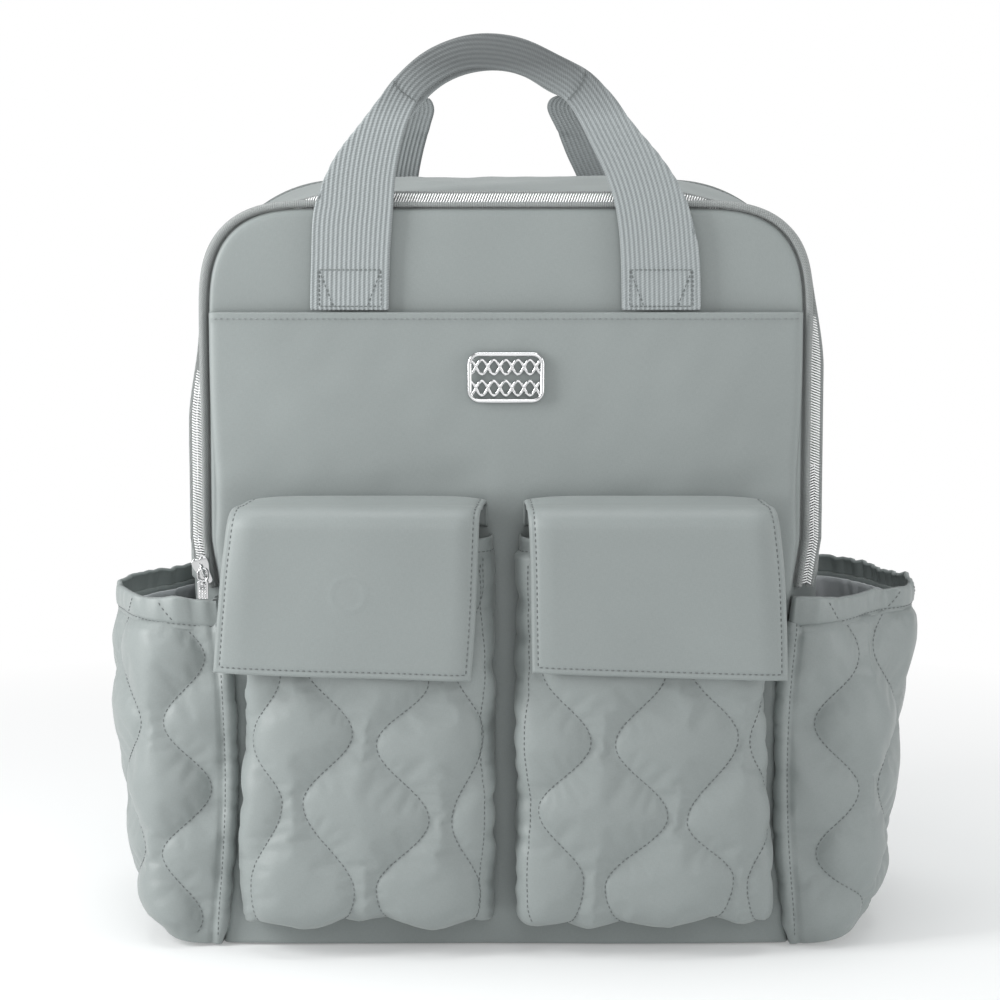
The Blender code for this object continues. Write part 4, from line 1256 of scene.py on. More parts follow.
SIDE_REACHES = {-1: (0.1955, 0.2088), 1: (0.2005, 0.2115)}
SIDE_RIMS = {
    # plan of the elastic rim between its seams: widest at the front corner, drawn in towards the back
    -1: ((0.1620, -0.0915), (0.1800, -0.0880), (0.1915, -0.0760), (0.1995, -0.0560), (0.2050, -0.0370),
         (0.2030, -0.0190), (0.1915, 0.0060), (0.1765, 0.0330), (0.1690, 0.0560)),
    1: ((0.1600, -0.0905), (0.1720, -0.0840), (0.1840, -0.0710), (0.1975, -0.0560), (0.2115, -0.0430),
        (0.2165, -0.0240), (0.2095, 0.0157), (0.1975, 0.0440), (0.1840, 0.0630)),
}


def side_rim(sign, start, end, inset, count):
    """The rim's plan (x, y), moved in by an inset."""
    line = respace(smooth(np.array([start, *SIDE_RIMS[sign], end]), 300), count)
    ahead = np.gradient(soften(line, 12), axis=0)
    ahead /= np.linalg.norm(ahead, axis=1, keepdims=True)
    held = np.minimum(np.arange(count), np.arange(count)[::-1])[:, None] / (0.06 * count)
    return line - np.stack([ahead[:, 1], -ahead[:, 0]], 1) * inset * np.clip(held, 0, 1)


def side_wall(theta, z, inset=0.0, sign=1):
    """A side pocket's wall, from the front seam round to the back seam, as rows (x, y, z) on the right."""
    turn = theta / PI
    rise = np.sqrt(ease(z / 0.028))
    reach = lerp(*SIDE_REACHES[sign], ease(z / SIDE_RIM_Z)) - 0.012 * (1 - rise) - inset
    seam = half_width(z) + float(swell(SIDE_BACK_Y, 0)) + 0.0014
    start = lerp(half_width(z) + 0.0010, seam, turn)
    x = start + (reach - start) * np.sin(theta) ** 0.55
    ahead = np.sign(np.cos(theta)) * np.abs(np.cos(theta)) ** 0.80
    y = lerp(SIDE_FRONT_Y + inset, SIDE_BACK_Y - inset, (1 - ahead) / 2)
    y = y - 0.009 * np.sin(2 * theta) * (theta < PI / 2)
    plan = respace(np.stack([x, y], 1), len(theta))
    gathered = ease((z - 0.105) / 0.066)
    if gathered > 0:
        plan = lerp(plan, side_rim(sign, plan[0], plan[-1], inset, len(theta)), gathered)
    round_it = np.c_[plan, np.full(len(theta), z)]
    edge = float(half_width(z))
    front = [(edge - 0.0004, -0.0806, z), (edge + 0.0001, -0.0850, z)]
    front.append((edge + 0.0004, SIDE_FRONT_Y + inset + 0.002, z))
    return np.concatenate([front, round_it, [(seam - 0.0004, SIDE_BACK_Y + 0.0004, z)]])


def side_lift(rows, heights):
    """Raises the foot of a side pocket's wall towards its outer side."""
    outward = np.clip((rows[..., 0] - rows[:, :1, 0]) / (SIDE_REACHES[-1][0] - rows[:, :1, 0]), 0, 1)
    rows[..., 2] += 0.0130 * outward**2 * (1 - ease(heights / 0.07))[:, None]


def side_quilt(index, sign):
    swing = -sign * SIDE_QUILT_SWING * (-1) ** index
    middle = SIDE_QUILT_FIRST[sign] + SIDE_QUILT_STEP * index
    return lambda v: middle - swing * np.cos(2 * PI * (v - SIDE_QUILT_TOP) / SIDE_QUILT_PERIOD)


def side_pocket(side, sign):
    wall_top = SIDE_RIM_Z - HEM_H
    heights = np.r_[0.0014, 0.0022, 0.0036, np.linspace(0.0055, wall_top, 96)]
    count = 170
    rows, along = unrolled(lambda theta, z: side_wall(theta, z, 0.0032, sign), heights, count)
    side_lift(rows, heights)
    v = np.broadcast_to(heights[:, None], along.shape)
    lines = [side_quilt(index, sign) for index in range(5)]
    u, on = snap(along, v, lines)
    base = between(rows, along, u)
    out = puff(u, v, lines, on, 400 if sign < 0 else 500, crown=0.0046)[1]
    settle = ease(heights / 0.012)[:, None] * (1 - 0.75 * ease((heights - wall_top + 0.005) / 0.005))[:, None]
    normal = outward_normals(base)
    past_fold = along - 0.0090
    raised = hump(past_fold, 0.0020)
    seam = 0.0011 * raised - 0.0011 * hump(past_fold - 0.0034, 0.0014)
    points = base + normal * (out * settle + 0.0004 + seam)[..., None]
    flipped = sign < 0
    shaped = mirrored(points, sign)
    depth = np.clip(shaped[0, :, 1], 0.0006 - HALF_D, HALF_D - 0.0004)
    under = np.stack([sign * (half_width(0) + swell(depth, 0) - 0.0004), depth, np.full(count, 0.0012)], 1)
    floor = lerp(under[None], shaped[:1] - (0, 0, 0.0006), np.linspace(0, 0.97, 9)[:, None, None])
    whole = np.concatenate([floor, shaped])
    piece = link(f"quilted_side_pocket_{side}", sheet_mesh(whole, 0.0016), QUILTED)
    place(piece, "bag", "quilted_fabric", f"side_pocket_{side}")
    patch = Patch(shaped)
    columns_u, columns_v = (-u[:, ::-1], v[:, ::-1]) if flipped else (u, v)
    held = [(lambda line: lambda z: -line(z))(line) for line in lines] if flipped else lines
    runs = quilt_runs(patch, columns_u, columns_v, held, (0.006, wall_top - 0.001))
    seam_rows = np.linspace(3, len(heights) - 1, 220)
    front_column = count - 1 - SIDE_SEAM_COLUMN if flipped else SIDE_SEAM_COLUMN
    runs.append(patch.line(seam_rows, np.full(220, front_column)))
    sew(f"quilted_side_pocket_stitching_{side}", runs, "bag", "quilted_fabric", QUILT_STITCH)
    side_hem(side, sign, wall_top, lines, along[-1, -1])
    side_lining(side, sign, wall_top)


def side_hem(side, sign, wall_top, lines, wall_length):
    """Elastic hem in upright gathers, with its stitch row at the foot; the quilting runs on over it."""
    rise = np.linspace(0, 1, 22)
    heights = wall_top - 0.0006 + rise * HEM_H
    count = 420
    rows, along = unrolled(lambda theta, z: side_wall(theta, z, 0.0020, sign), heights, count)
    normal = outward_normals(rows)
    fold_field = ripple(along, 0 * along, 600 + sign, 0.024)
    fold_field += 0.45 * ripple(along, 0 * along, 610 + sign, 0.010)
    belly = np.sin(PI * np.clip(rise, 0, 1))[:, None] ** 0.6
    pinch = hump(rise - 0.12, 0.07)[:, None]
    out = 0.00140 * fold_field * (0.30 + 0.70 * rise[:, None]) + 0.0009 * belly - 0.0010 * pinch
    points = rows + normal * out[..., None]
    sag = 0.0013 * ripple(along, 0 * along, 620 + sign, 0.045) + 0.00060 * fold_field
    beside_seam = 1 - ease(np.arange(count) / (0.30 * count))
    points[..., 2] -= 0.0042 * (1 - rise[:, None]) * beside_seam[None]
    points[..., 2] += sag * rise[:, None]
    fade = np.minimum(np.arange(count), count - 1 - np.arange(count)) / 14.0
    shaped = mirrored(lerp(rows, points, np.clip(fade, 0, 1)[None, :, None]), sign)
    piece = link(f"side_pocket_elastic_hem_{side}", sheet_mesh(shaped, 0.0026), QUILTED)
    place(piece, "bag", "quilted_fabric", f"side_pocket_hem_{side}")
    patch = Patch(shaped)
    columns = np.linspace(3, count - 4, 500)
    runs = [patch.line(0.15 * 21, columns)]
    climb = np.linspace(0.24, 0.90, 30)
    for line in lines:
        column = line(wall_top - 0.0006 + climb * HEM_H) / wall_length * (count - 1)
        if 20 < column.min() and column.max() < count - 20:
            runs.append(patch.line(climb * 21, count - 1 - column if sign < 0 else column))
    sew(f"side_pocket_hem_stitching_{side}", runs, "bag", "quilted_fabric", HEM_STITCH)


def side_lining(side, sign, wall_top):
    heights = np.linspace(0.008, wall_top + 0.0010, 60)
    rows, along = unrolled(lambda theta, z: side_wall(theta, z, 0.0056, sign), heights, 200)
    side_lift(rows, heights)
    normal = outward_normals(rows)
    v = heights[:, None] + 0 * along
    gathers = ripple(along, v * 0.25, 640 + sign, 0.011) * ease((v - 0.11) / 0.06)
    out = 0.00075 * gathers + 0.0004 * ripple(along, v, 650 + sign, 0.04) - 0.0006
    shaped = mirrored((rows + normal * out[..., None])[:, 10:-6], sign)
    piece = link(f"side_pocket_inner_lining_{side}", sheet_mesh(shaped, 0.0008), LINING)
    place(piece, "bag", "lining_fabric", f"side_pocket_lining_{side}")


# ---------------------------------------------------------------- handles
FRONT_HANDLE = (
    # outer edge and inner edge of the folded webbing, (x, z, x, z), from the left foot to the right foot
    (-0.0975, 0.3265, -0.0590, 0.3265), (-0.0968, 0.3500, -0.0585, 0.3500),
    (-0.0938, 0.3830, -0.0565, 0.3790), (-0.0850, 0.4030, -0.0552, 0.3940),
    (-0.0738, 0.4172, -0.0526, 0.4075), (-0.0632, 0.4310, -0.0490, 0.4200),
    (-0.0540, 0.4428, -0.0425, 0.4322), (-0.0410, 0.4540, -0.0325, 0.4402),
    (-0.0222, 0.4618, -0.0190, 0.4458), (-0.0020, 0.4630, -0.0015, 0.4452),
    (0.0130, 0.4592, 0.0110, 0.4414), (0.0262, 0.4524, 0.0210, 0.4360),
    (0.0390, 0.4462, 0.0300, 0.4302), (0.0510, 0.4352, 0.0360, 0.4212),
    (0.0632, 0.4186, 0.0425, 0.4085), (0.0762, 0.4036, 0.0490, 0.3955),
    (0.0872, 0.3872, 0.0540, 0.3815), (0.0940, 0.3680, 0.0568, 0.3655),
    (0.0963, 0.3500, 0.0578, 0.3500), (0.0970, 0.3265, 0.0583, 0.3265),
)
REAR_HANDLE = (
    (-0.0870, 0.3500, -0.0500, 0.3500), (-0.0868, 0.3700, -0.0496, 0.3700),
    (-0.0850, 0.3880, -0.0490, 0.3870), (-0.0805, 0.4060, -0.0458, 0.4040),
    (-0.0745, 0.4210, -0.0420, 0.4180), (-0.0680, 0.4320, -0.0400, 0.4275),
    (-0.0630, 0.4385, -0.0425, 0.4325), (-0.0590, 0.4425, -0.0470, 0.4350),
    (-0.0540, 0.4460, -0.0455, 0.4395), (-0.0430, 0.4545, -0.0380, 0.4440),
    (-0.0220, 0.4615, -0.0200, 0.4490), (0.0000, 0.4630, 0.0000, 0.4505),
    (0.0140, 0.4600, 0.0120, 0.4480), (0.0300, 0.4535, 0.0240, 0.4430),
    (0.0410, 0.4465, 0.0315, 0.4385), (0.0490, 0.4385, 0.0300, 0.4345),
    (0.0560, 0.4310, 0.0255, 0.4322), (0.0630, 0.4215, 0.0236, 0.4275),
    (0.0720, 0.4080, 0.0290, 0.4150), (0.0790, 0.3930, 0.0345, 0.4010),
    (0.0835, 0.3780, 0.0405, 0.3880), (0.0855, 0.3640, 0.0460, 0.3700),
    (0.0860, 0.3500, 0.0490, 0.3500),
)
GRIP_ENDS = (-0.0440, 0.0300)
WEB_W, FRONT_HANDLE_Y, REAR_HANDLE_Y = 0.038, -0.0862, 0.0876
ANCHOR_CENTRES, ANCHOR_Z = (-0.0780, 0.0774), (0.3280, 0.3462)


def handle_mesh(edges, depth, rows=300, columns=112, peek=0.0025, reach=9):
    """Webbing whose outer part is folded behind itself where the handle is narrower than the tape."""
    line = soften(smooth(np.array(edges), rows), reach)
    outer, inner = line[:, :2], line[:, 2:]
    width = np.linalg.norm(outer - inner, axis=1)
    toward = (outer - inner) / width[:, None]
    q = np.linspace(0, 1, columns)
    along = lengths((outer + inner) / 2)
    spots = np.zeros((rows, columns, 3))
    slot = 0.0011
    facing = 1 if depth < 0 else -1
    for k in range(rows):
        bend_r = min(0.0013, max(WEB_W - width[k], 1e-6) / PI)
        tape = q * (WEB_W if width[k] < WEB_W else width[k])
        bend = np.clip((tape - width[k] + bend_r) / (PI * bend_r), 0, 1) * PI
        spare = max(WEB_W - width[k] + bend_r - PI * bend_r, 1e-6)
        kept = (spare + width[k] + peek - math.hypot(spare - width[k] - peek, 0.004)) / 2
        back_part = np.clip(tape - width[k] + bend_r - PI * bend_r, 0, None) * max(kept, 0) / spare
        across = np.minimum(tape, width[k] - bend_r) + bend_r * np.sin(bend) - back_part
        back = facing * bend_r * (1 - np.cos(bend))
        base = inner[k][None] + toward[k][None] * across[:, None]
        spots[k, :, 0], spots[k, :, 2] = base[:, 0], base[:, 1]
        leg = 1 - ease((inner[k, 0] - GRIP_ENDS[0]) / 0.0008) * ease((GRIP_ENDS[1] - inner[k, 0]) / 0.0008)
        bow = 0.0016 * np.sin(PI * np.clip(across / max(width[k], 0.01), 0, 1)) * (1 - leg)
        spots[k, :, 1] = depth + back - facing * (0.0013 * leg + bow * (bend < PI / 2))
    ribs = -0.00015 * np.cos(2 * PI * q * WEB_W / 0.0023)
    legs = 1 - 0.6 * ease((inner[:, 0] - GRIP_ENDS[0]) / 0.004) * ease((GRIP_ENDS[1] - inner[:, 0]) / 0.004)
    normal = normals_of(spots)
    sign = np.sign(-normal[rows // 20, columns // 3, 1])
    spots += normal * sign * (ribs[None] * legs[:, None])[..., None]
    uv = np.stack(np.broadcast_arrays(q[None] * WEB_W, along[:, None]), -1)
    if sign < 0:
        spots, uv = spots[:, ::-1], uv[:, ::-1]
    return sheet_mesh(spots, slot, uv)


def anchor_runs(centre, bottom, top, depth, sign):
    """Box stitching on a handle's foot: a border, and a line slanting in from each side."""
    half, runs = 0.0155, []
    corners = [(-half, bottom), (half, bottom), (half, top), (-half, top), (-half, bottom)]
    slants = [[(-half, top), (-0.0085, bottom)], [(half, top), (0.0085, bottom)]]
    for path in ([corners[:2], corners[1:3], corners[2:4], corners[3:5]] + slants):
        ends = np.array([(centre + a, depth, z) for a, z in path])
        runs.append(facing_run(respace(ends, 40), sign))
    return runs


def handles():
    mesh = handle_mesh(FRONT_HANDLE, FRONT_HANDLE_Y)
    piece = link("front_carry_handle", mesh, GRIP_WEBBING_SHADED)
    span = dict(start=(0, -0.0841, 0.3860), end=(0, -0.0841, 0.3945))
    fold(piece, "webbing", "front_handle", "front_handle_anchor_left", "front_handle_anchor_right",
         bodies=("lid", "front_grip"), **span)
    runs = []
    for centre in ANCHOR_CENTRES:
        runs += anchor_runs(centre, *ANCHOR_Z, FRONT_HANDLE_Y - 0.0014, -1)
    sew("front_handle_stitching", runs, "lid", "webbing", ANCHOR_STITCH)
    line = soften(smooth(np.array(FRONT_HANDLE), 300), 9)
    runs = []
    for end in GRIP_ENDS:
        row = line[np.argmin(np.abs(line[:, 2] - end) + 10 * (line[:, 3] < 0.40))]
        t = np.linspace(0.02, 0.97, 40)[:, None]
        across = lerp(row[2:], row[:2], t) + 0.0022 * np.sign(end) * np.sin(PI * t) * (1, 0)
        runs.append(facing_run(at_depth(across, FRONT_HANDLE_Y - 0.0016), -1.0))
    sew("front_grip_crease_stitching", runs, "front_grip", "webbing", CREASE_STITCH)
    mesh = handle_mesh(REAR_HANDLE, REAR_HANDLE_Y, peek=-0.003, reach=3)
    piece = link("rear_carry_handle", mesh, REAR_WEBBING_SHADED)
    fold(piece, "webbing", "rear_handle", "rear_handle_anchor_left", "rear_handle_anchor_right",
         bodies=("bag", "rear_grip"), start=(0, REAR_HANDLE_Y, 0.3915), end=(0, REAR_HANDLE_Y, 0.4000))


# ---------------------------------------------------------------- badge, slider and pull
BADGE_CENTRE, BADGE_SIZE = (0.0, 0.2925), (0.0385, 0.0255)
BADGE_FACE = SLIP_Y - 0.0016


def badge():
    """Open wirework: a rounded frame round two rows of crossing waves."""
    def wire(path, radius=0.00085, closed=False):
        points = np.array([(x, BADGE_FACE, z) for x, z in path])
        return tube_mesh(points, radius, 10, closed)

    frame_path = rounded_rectangle(BADGE_SIZE[0] - 0.0020, BADGE_SIZE[1] - 0.0020, 0.0050, BADGE_CENTRE, 8)
    meshes = [wire(frame_path, 0.0012, True)]
    reach = BADGE_SIZE[0] / 2 - 0.0012
    for row in (-1, 1):
        for phase in (-1, 1):
            x = np.linspace(-reach, reach, 90)
            z = BADGE_CENTRE[1] + row * 0.0053 + phase * 0.0036 * np.cos(x / reach * 3 * PI)
            meshes.append(wire(list(zip(x, z)), 0.00085))
    place(merged("badge_wirework", meshes, NICKEL), "lid", "nickel", "badge")


SLIDER, PULL_BAR_Y = Vector((-0.1535, -0.0829, 0.1940)), -0.0863
SLIDER_TILT = 0.38


def slider():
    wide, tall = 0.0043, 0.0070
    outline = []
    for x, z in ((-0.55, -1), (0.55, -1), (0.72, -0.2), (1.0, 0.45), (0.86, 0.92), (0.30, 1.0), (0, 0.82),
                 (-0.30, 1.0), (-0.86, 0.92), (-1.0, 0.45), (-0.72, -0.2)):
        outline.append((x * wide, z * tall))
    outline = respace(smooth(np.array(outline + outline[:1]), 80), 61)[:-1].tolist()
    meshes = [plate_mesh(outline, -0.0022, -0.0010, 0.0003)]
    rail = [(x * 0.86, z * 0.9) for x, z in outline]
    meshes.append(plate_mesh(rail, -0.0012, -0.0003, 0.0002))
    t = np.linspace(0, PI, 18)
    crown = np.stack([0 * t, -0.0022 - 0.0034 * np.sin(t) ** 0.8, 0.0034 * np.cos(t)], 1)
    meshes.append(tube_mesh(crown, 0.00075, 10))
    whole = merged("zip_slider_body", meshes, NICKEL)
    whole.data.transform(Matrix.Translation(SLIDER) @ Matrix.Rotation(-SLIDER_TILT, 4, "Y"))
    place(whole, "slider", "nickel", "zip_slider")
    loop = rounded_rectangle(0.0052, 0.0062, 0.0022, (0, -0.0022), 6)
    ring = np.array([(x, 0, z) for x, z in loop])
    meshes = [tube_mesh(ring, 0.00055, 10, closed=True)]
    tab = rounded_rectangle(0.0056, 0.0108, 0.0016, (0, -0.0102))
    eye = rounded_rectangle(0.0026, 0.0012, 0.0005, (0, -0.0058))
    meshes.append(plate_mesh(tab, -0.0006, 0.0006, 0.0002, holes=[eye]))
    for row in range(6):
        for column in range(3):
            spot = ((column - 1) * 0.0014, (-0.0078 - row * 0.0013))
            for face in (-1, 1):
                dome = [(spot[0], face * 0.00045, spot[1]), (spot[0], face * 0.00080, spot[1])]
                meshes.append(tube_mesh(dome, np.array([0.00046, 0.00028]), 8))
    pull = merged("zip_pull_tab", meshes, NICKEL)
    pull.data.transform(Matrix.Translation((SLIDER.x, PULL_BAR_Y, SLIDER.z)))
    place(pull, "pull", "nickel", "zip_pull")


# ---------------------------------------------------------------- back and straps
BACK_FACE = 0.0855
PAD_HALF, PAD_Z, PAD_T = (0.088, 0.130), (0.045, 0.305), 0.0090
YOKE_SIZE, YOKE_Z = (0.2356, 0.0356), 0.329
STRAP_ROUTE = (
    (0.054, 0.0948, 0.338), (0.060, 0.1000, 0.312), (0.069, 0.1110, 0.278), (0.080, 0.1195, 0.240),
    (0.090, 0.1220, 0.200), (0.097, 0.1180, 0.160), (0.102, 0.1100, 0.128), (0.104, 0.1060, 0.116),
)
STRAP_W, STRAP_T = (0.060, 0.044), 0.0095
RING_CENTRE, RING_W, RING_H = Vector((0.1050, 0.1045, 0.1060)), 0.036, 0.010
TAPE_END, TAPE_W, TAPE_T = Vector((0.1205, 0.0905, 0.0300)), 0.025, 0.0016
TAPE_TOP = RING_CENTRE - Vector((0, 0, RING_H / 2 + 0.0050))


def back_panel():
    share = np.r_[0.0, 0.006, 0.014, 0.026, 0.045, 0.07, np.linspace(0.11, 1, 24)]
    x, z, inside = fan(SWELL_BACK - 0.0008, 0.0012, share, fullness=1.0)
    roll = rolled(inside, 0.0045)
    y = lerp(0.0822, BACK_FACE - 0.0003 + 0.0006 * ripple(x, z, 81, 0.12), np.sqrt(roll))
    shape = sheet_mesh(np.stack([x, y, z], -1), 0.0016)
    seam = arch(SWELL_BACK - 0.0004, 0.0030, side=90, turn=34, top=60, fullness=1.0)
    cord = at_depth(seam, 0.0816)
    place(merged("back_panel_sheet", [shape], SHELL), "bag", "shell_fabric", "back_panel")
    place(merged("back_panel_piping", [tube_mesh(cord, 0.0015, 10)], PIPING), "bag", "shell_fabric")
    inset = arch(SWELL_BACK - 0.0062, 0.0060, side=90, turn=34, top=60, fullness=1.0)
    runs = [facing_run(at_depth(inset, BACK_FACE + 0.0001), 1.0)]
    sew("back_panel_stitching", runs, "bag", "shell_fabric", thread=LIGHT_THREAD)


def pad_height(x, z):
    """Thickness of the foam back pad, with a stitched channel down the middle and two across it."""
    across = np.abs(x) / PAD_HALF[0]
    middle = sum(PAD_Z) / 2
    up = np.abs(z - middle) / PAD_HALF[1]
    edge = np.minimum((1 - across) * PAD_HALF[0], (1 - up) * PAD_HALF[1])
    height = np.sqrt(rolled(edge, 0.012))
    for gap in (np.abs(x), np.abs(z - middle - 0.045) + 0 * x, np.abs(z - middle + 0.045) + 0 * x):
        height = height * (1 - 0.62 * hump(gap, 0.0065))
    return height


def back_pad():
    """Breathable foam pad, bound at its edge."""
    t = np.sin(np.linspace(-1, 1, 120) * PI / 2)
    s = np.sin(np.linspace(-1, 1, 160) * PI / 2)
    a, b = np.meshgrid(t, s)
    squeeze = 0.085 * (np.abs(a) * np.abs(b)) ** 4
    x, z = a * PAD_HALF[0] * (1 - squeeze), sum(PAD_Z) / 2 + b * PAD_HALF[1] * (1 - squeeze)
    height = pad_height(a * PAD_HALF[0], sum(PAD_Z) / 2 + b * PAD_HALF[1])
    y = BACK_FACE + 0.0008 + (PAD_T - 0.0004) * height + 0.0004 * ripple(x, z, 91, 0.05) * height
    points = np.stack([x, y, z], -1)[:, ::-1]
    pad = link("breathable_back_pad", sheet_mesh(points, 0.0009), MESH)
    place(pad, "bag", "mesh_fabric", "back_mesh_pad")
    rim = np.concatenate([points[0], points[1:, -1], points[-1, -2::-1], points[-2:0:-1, 0]])
    rim = respace(rim + (0, 0.0012, 0), 500)
    binding = link("back_pad_binding", tube_mesh(rim[:-1], 0.0019, 8, closed=True), PIPING)
    place(binding, "bag", "shell_fabric")
    patch = Patch(points)
    middle = np.full(200, 59.5)
    runs = [patch.line(np.linspace(6, 153, 200), middle)]
    for side in (-0.045, 0.045):
        row = np.interp(side / PAD_HALF[1], s, np.arange(160))
        runs.append(patch.line(np.full(200, row), np.linspace(5, 114, 200)))
    sew("back_pad_stitching", runs, "bag", "mesh_fabric")


def yoke():
    """Patch that covers the strap tops, with two rows of stitches."""
    outline = rounded_rectangle(*YOKE_SIZE, 0.006, (0, YOKE_Z), 8)
    patch = plate_mesh(outline, BACK_FACE + 0.0004, BACK_FACE + 0.0028, 0.0007)
    place(merged("strap_yoke_patch", [patch], SHELL), "bag", "shell_fabric", "strap_yoke")
    face = BACK_FACE + 0.0029
    runs = []
    for inset in (0.0025, 0.0055):
        loop = rounded_rectangle(YOKE_SIZE[0] - 2 * inset, YOKE_SIZE[1] - 2 * inset, 0.004, (0, YOKE_Z), 8)
        run = np.array([(x, face, z) for x, z in loop + loop[:1]])
        runs.append(facing_run(respace(run, 400), 1.0))
    sew("strap_yoke_stitching", runs, "bag", "shell_fabric")


def loft(rings, uv):
    rows, columns = rings.shape[:2]
    i = np.arange(rows * columns).reshape(rows, columns)
    faces = []
    for r in range(rows - 1):
        for c in range(columns):
            d = (c + 1) % columns
            faces.append((i[r, c], i[r, d], i[r + 1, d], i[r + 1, c]))
    faces.append(tuple(i[0][::-1]))
    faces.append(tuple(i[-1]))
    return faced_out(build(rings.reshape(-1, 3), faces, uv.reshape(-1, 2)))


def strap_frame(route):
    """Directions along, across and out of a strap that lies along a route."""
    ahead = np.gradient(route, axis=0)
    ahead /= np.linalg.norm(ahead, axis=1, keepdims=True)
    out = np.cross(ahead, np.tile((-1.0, 0.0, 0.0), (len(route), 1)))
    out /= np.linalg.norm(out, axis=1, keepdims=True)
    side = np.cross(out, ahead)
    return ahead, side, out


def strap(side, sign):
    """Padded shoulder strap with a bound edge and a stitched channel, and the webbing below it."""
    route = smooth(np.array(STRAP_ROUTE) * (sign, 1, 1), 120)
    _, across, out = strap_frame(route)
    along = lengths(route)
    share = along / along[-1]
    width = lerp(STRAP_W[0], STRAP_W[1], share) / 2 - 0.0012
    width *= np.sqrt(1 - (1 - np.clip((1 - share) / 0.05, 0, 1)) ** 2 * 0.28)
    thick = (STRAP_T / 2 - 0.0002) * (0.45 + 0.55 * ease(share / 0.12) * ease((1 - share) / 0.05))
    angle = np.arange(40) * 2 * PI / 40
    flat = np.sign(np.cos(angle)) * np.abs(np.cos(angle)) ** 0.62
    tall = np.sign(np.sin(angle)) * np.abs(np.sin(angle)) ** 0.80
    pinch = 1 - 0.35 * hump(np.abs(flat) - 0.72, 0.07)
    quilted = 1 + 0.05 * ripple(along[:, None] + 0 * angle, flat[None] * 0.03, 700 + sign, 0.03)
    rings = (
        route[:, None]
        + across[:, None] * (width[:, None] * flat[None])[..., None]
        + out[:, None] * (thick[:, None] * tall[None] * pinch[None] * quilted)[..., None]
    )
    uv = np.stack(np.broadcast_arrays((flat * 0.03)[None], along[:, None]), -1)
    pad = link(f"shoulder_strap_pad_{side}", loft(rings, uv), SHELL)
    place(pad, "bag", "shell_fabric", f"strap_pad_{side}")
    edge = np.concatenate([route + across * width[:, None], (route - across * width[:, None])[::-1]])
    binding = tube_mesh(respace(edge, 300), 0.0014, 8, closed=True)
    place(link(f"shoulder_strap_binding_{side}", binding, PIPING), "bag", "shell_fabric")
    runs = []
    for edge_side in (-1, 1):
        line = route + across * (edge_side * 0.72 * width)[:, None] + out * (thick * 0.62)[:, None]
        runs.append((line[6:-4], out[6:-4]))
    sew(f"shoulder_strap_stitching_{side}", runs, "bag", "shell_fabric")
    ring_and_tape(side, sign)


def ribbon(route, width, thickness, count=20):
    """A flat strap of webbing along a route, with its weave coordinates across and along it."""
    route = np.asarray(route, float)
    _, across, out = strap_frame(route)
    q = np.linspace(-0.5, 0.5, count)
    points = route[:, None] + across[:, None] * (q * width)[None, :, None] + out[:, None] * (thickness / 2)
    uv = np.stack(np.broadcast_arrays(q[None] * width, lengths(route)[:, None]), -1)
    if (normals_of(points)[1, 1] @ out[1]) < 0:
        points, uv = points[:, ::-1], uv[:, ::-1]
    return sheet_mesh(points, thickness, uv)


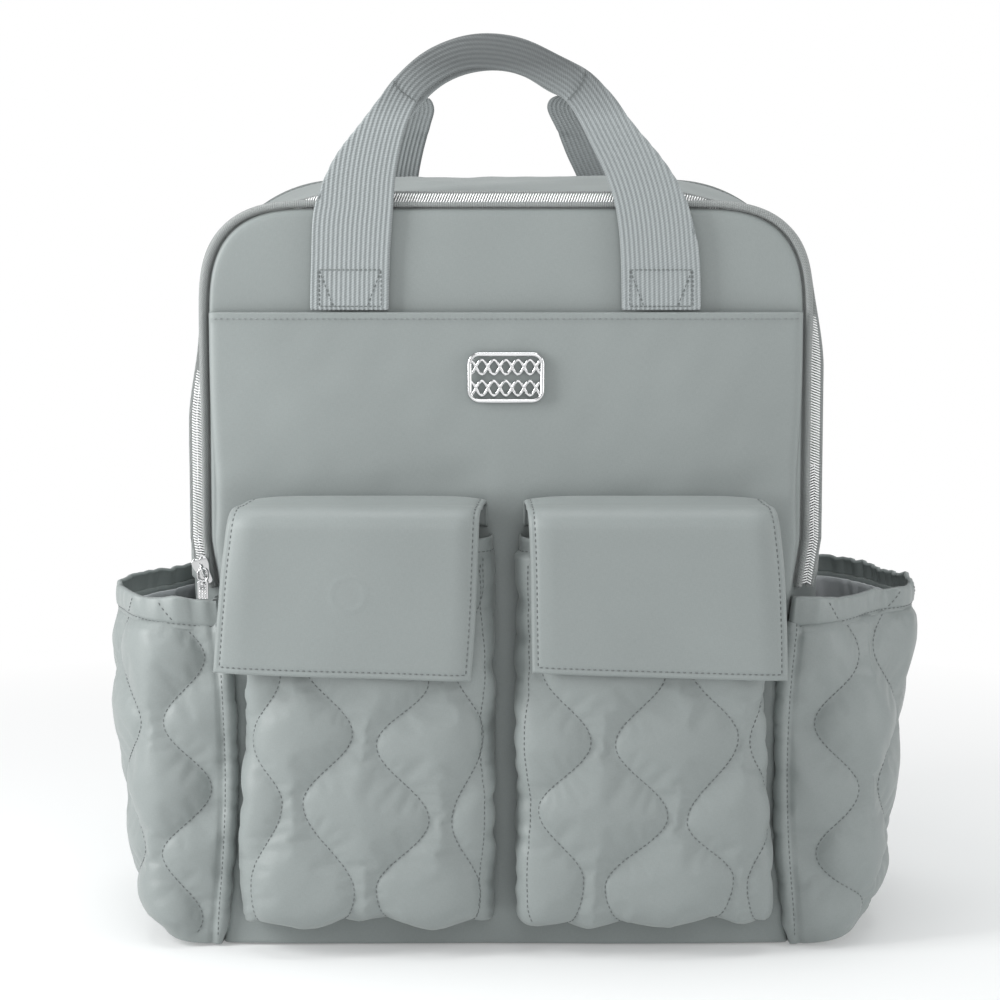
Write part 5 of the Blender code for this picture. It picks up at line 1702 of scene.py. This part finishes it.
def ring_and_tape(side, sign):
    flip = np.array((sign, 1, 1))
    centre = np.array(RING_CENTRE) * flip
    loop = rounded_rectangle(RING_W + 0.0006, RING_H + 0.0006, 0.0028, (0, 0), 6)
    ring = np.array([(x, 0, z) for x, z in loop]) + centre
    place(link(f"strap_rectangle_ring_{side}", tube_mesh(ring, 0.0014, 12, closed=True), NICKEL),
          "bag", "nickel", f"strap_ring_{side}")
    end, top = np.array(TAPE_END) * flip, np.array(TAPE_TOP) * flip
    start = np.array(STRAP_ROUTE[-1]) * flip
    turn = np.linspace(-PI / 2, PI / 2, 12)
    bar = centre + (0, 0, RING_H / 2)
    keeper = [start + (0, 0.0026, 0.006), start + (0, 0.0030, 0.000)]
    keeper += [bar + (0, 0.0026 * math.sin(a), -0.0026 * math.cos(a)) for a in turn[::-1]]
    keeper += [start + (0, -0.0026, 0.000), start + (0, -0.0026, 0.006)]
    meshes = [ribbon(respace(np.array(keeper), 30), TAPE_W, 0.0011)]
    bar = centre - (0, 0, RING_H / 2)
    lead = (end - top) / np.linalg.norm(end - top)
    path = [top + lead * 0.024 + (0, -0.0019, 0), top + (0, -0.0022, 0)]
    path += [bar + (0, 0.0026 * math.sin(a), 0.0026 * math.cos(a)) for a in turn]
    path += [top + (0, 0.0004, 0)]
    path += [lerp(top, end, t) + (0, 0.0004, 0) for t in np.linspace(0.12, 1, 14)]
    meshes.append(ribbon(respace(np.array(path), 110), TAPE_W, TAPE_T - 0.0003))
    webbing = merged(f"strap_adjusting_webbing_{side}", meshes, WEBBING)
    place(webbing, "bag", "webbing", f"strap_webbing_{side}")
    corners = [(0.098, 0.020), (0.149, 0.006), (0.149, 0.060), (0.132, 0.060)]
    outline = [(sign * x, z) for x, z in corners]
    tab = plate_mesh(outline, BACK_FACE + 0.0003, BACK_FACE + 0.0026, 0.0006)
    place(merged(f"strap_corner_tab_{side}", [tab], SHELL), "bag", "shell_fabric", f"strap_anchor_tab_{side}")
    middle = np.mean(corners, axis=0)
    inset = [middle + (np.array(c) - middle) * 0.84 for c in corners]
    run = np.array([(sign * x, BACK_FACE + 0.0027, z) for x, z in inset + inset[:1]])
    sew(f"strap_corner_stitching_{side}", [facing_run(respace(run, 200), 1.0)], "bag", "shell_fabric")
    triglide(side, end, top)


def triglide(side, end, top):
    """Cast adjuster with two slots, on the outer face of the webbing."""
    body = rounded_rectangle(0.0314, 0.0194, 0.0040, (0, 0), 6)
    slots = [rounded_rectangle(0.0262, 0.0050, 0.0012, (0, up)) for up in (-0.0047, 0.0047)]
    meshes = [plate_mesh(body, -0.0010, 0.0010, 0.0004, holes=slots)]
    whole = merged(f"webbing_triglide_{side}", meshes, NICKEL)
    up = Vector(top - end).normalized()
    out = up.cross(Vector((-1, 0, 0))).normalized()
    middle = Vector((end + top) / 2) + out * (TAPE_T / 2 + 0.0015)
    turn = Matrix((up.cross(out), -out, up)).transposed().to_4x4()
    if turn.determinant() < 0:
        turn = Matrix((-up.cross(out), -out, up)).transposed().to_4x4()
    whole.data.transform(Matrix.Translation(middle) @ turn)
    place(whole, f"{side}_triglide", "nickel", f"triglide_{side}")


def carried_over():
    """CAD nodes whose shape is right keep it and get a better finish."""
    finishes = {"base_board": BOARD, "badge_backing_plate": NICKEL}
    for side, _ in SIDES:
        finishes[f"flap_magnet_{side}"] = finishes[f"pocket_magnet_{side}"] = MAGNET
    for name, material in finishes.items():
        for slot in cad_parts[name].material_slots:
            slot.material = material


slip_panel()
front_panel()
linings()
organiser()
gussets()
base()
zip_parts()
for name, hand in SIDES:
    cargo_pocket(name, hand)
    flap(name, hand)
    side_pocket(name, hand)
    strap(name, hand)
back_panel()
back_pad()
yoke()
handles()
badge()
slider()
carried_over()
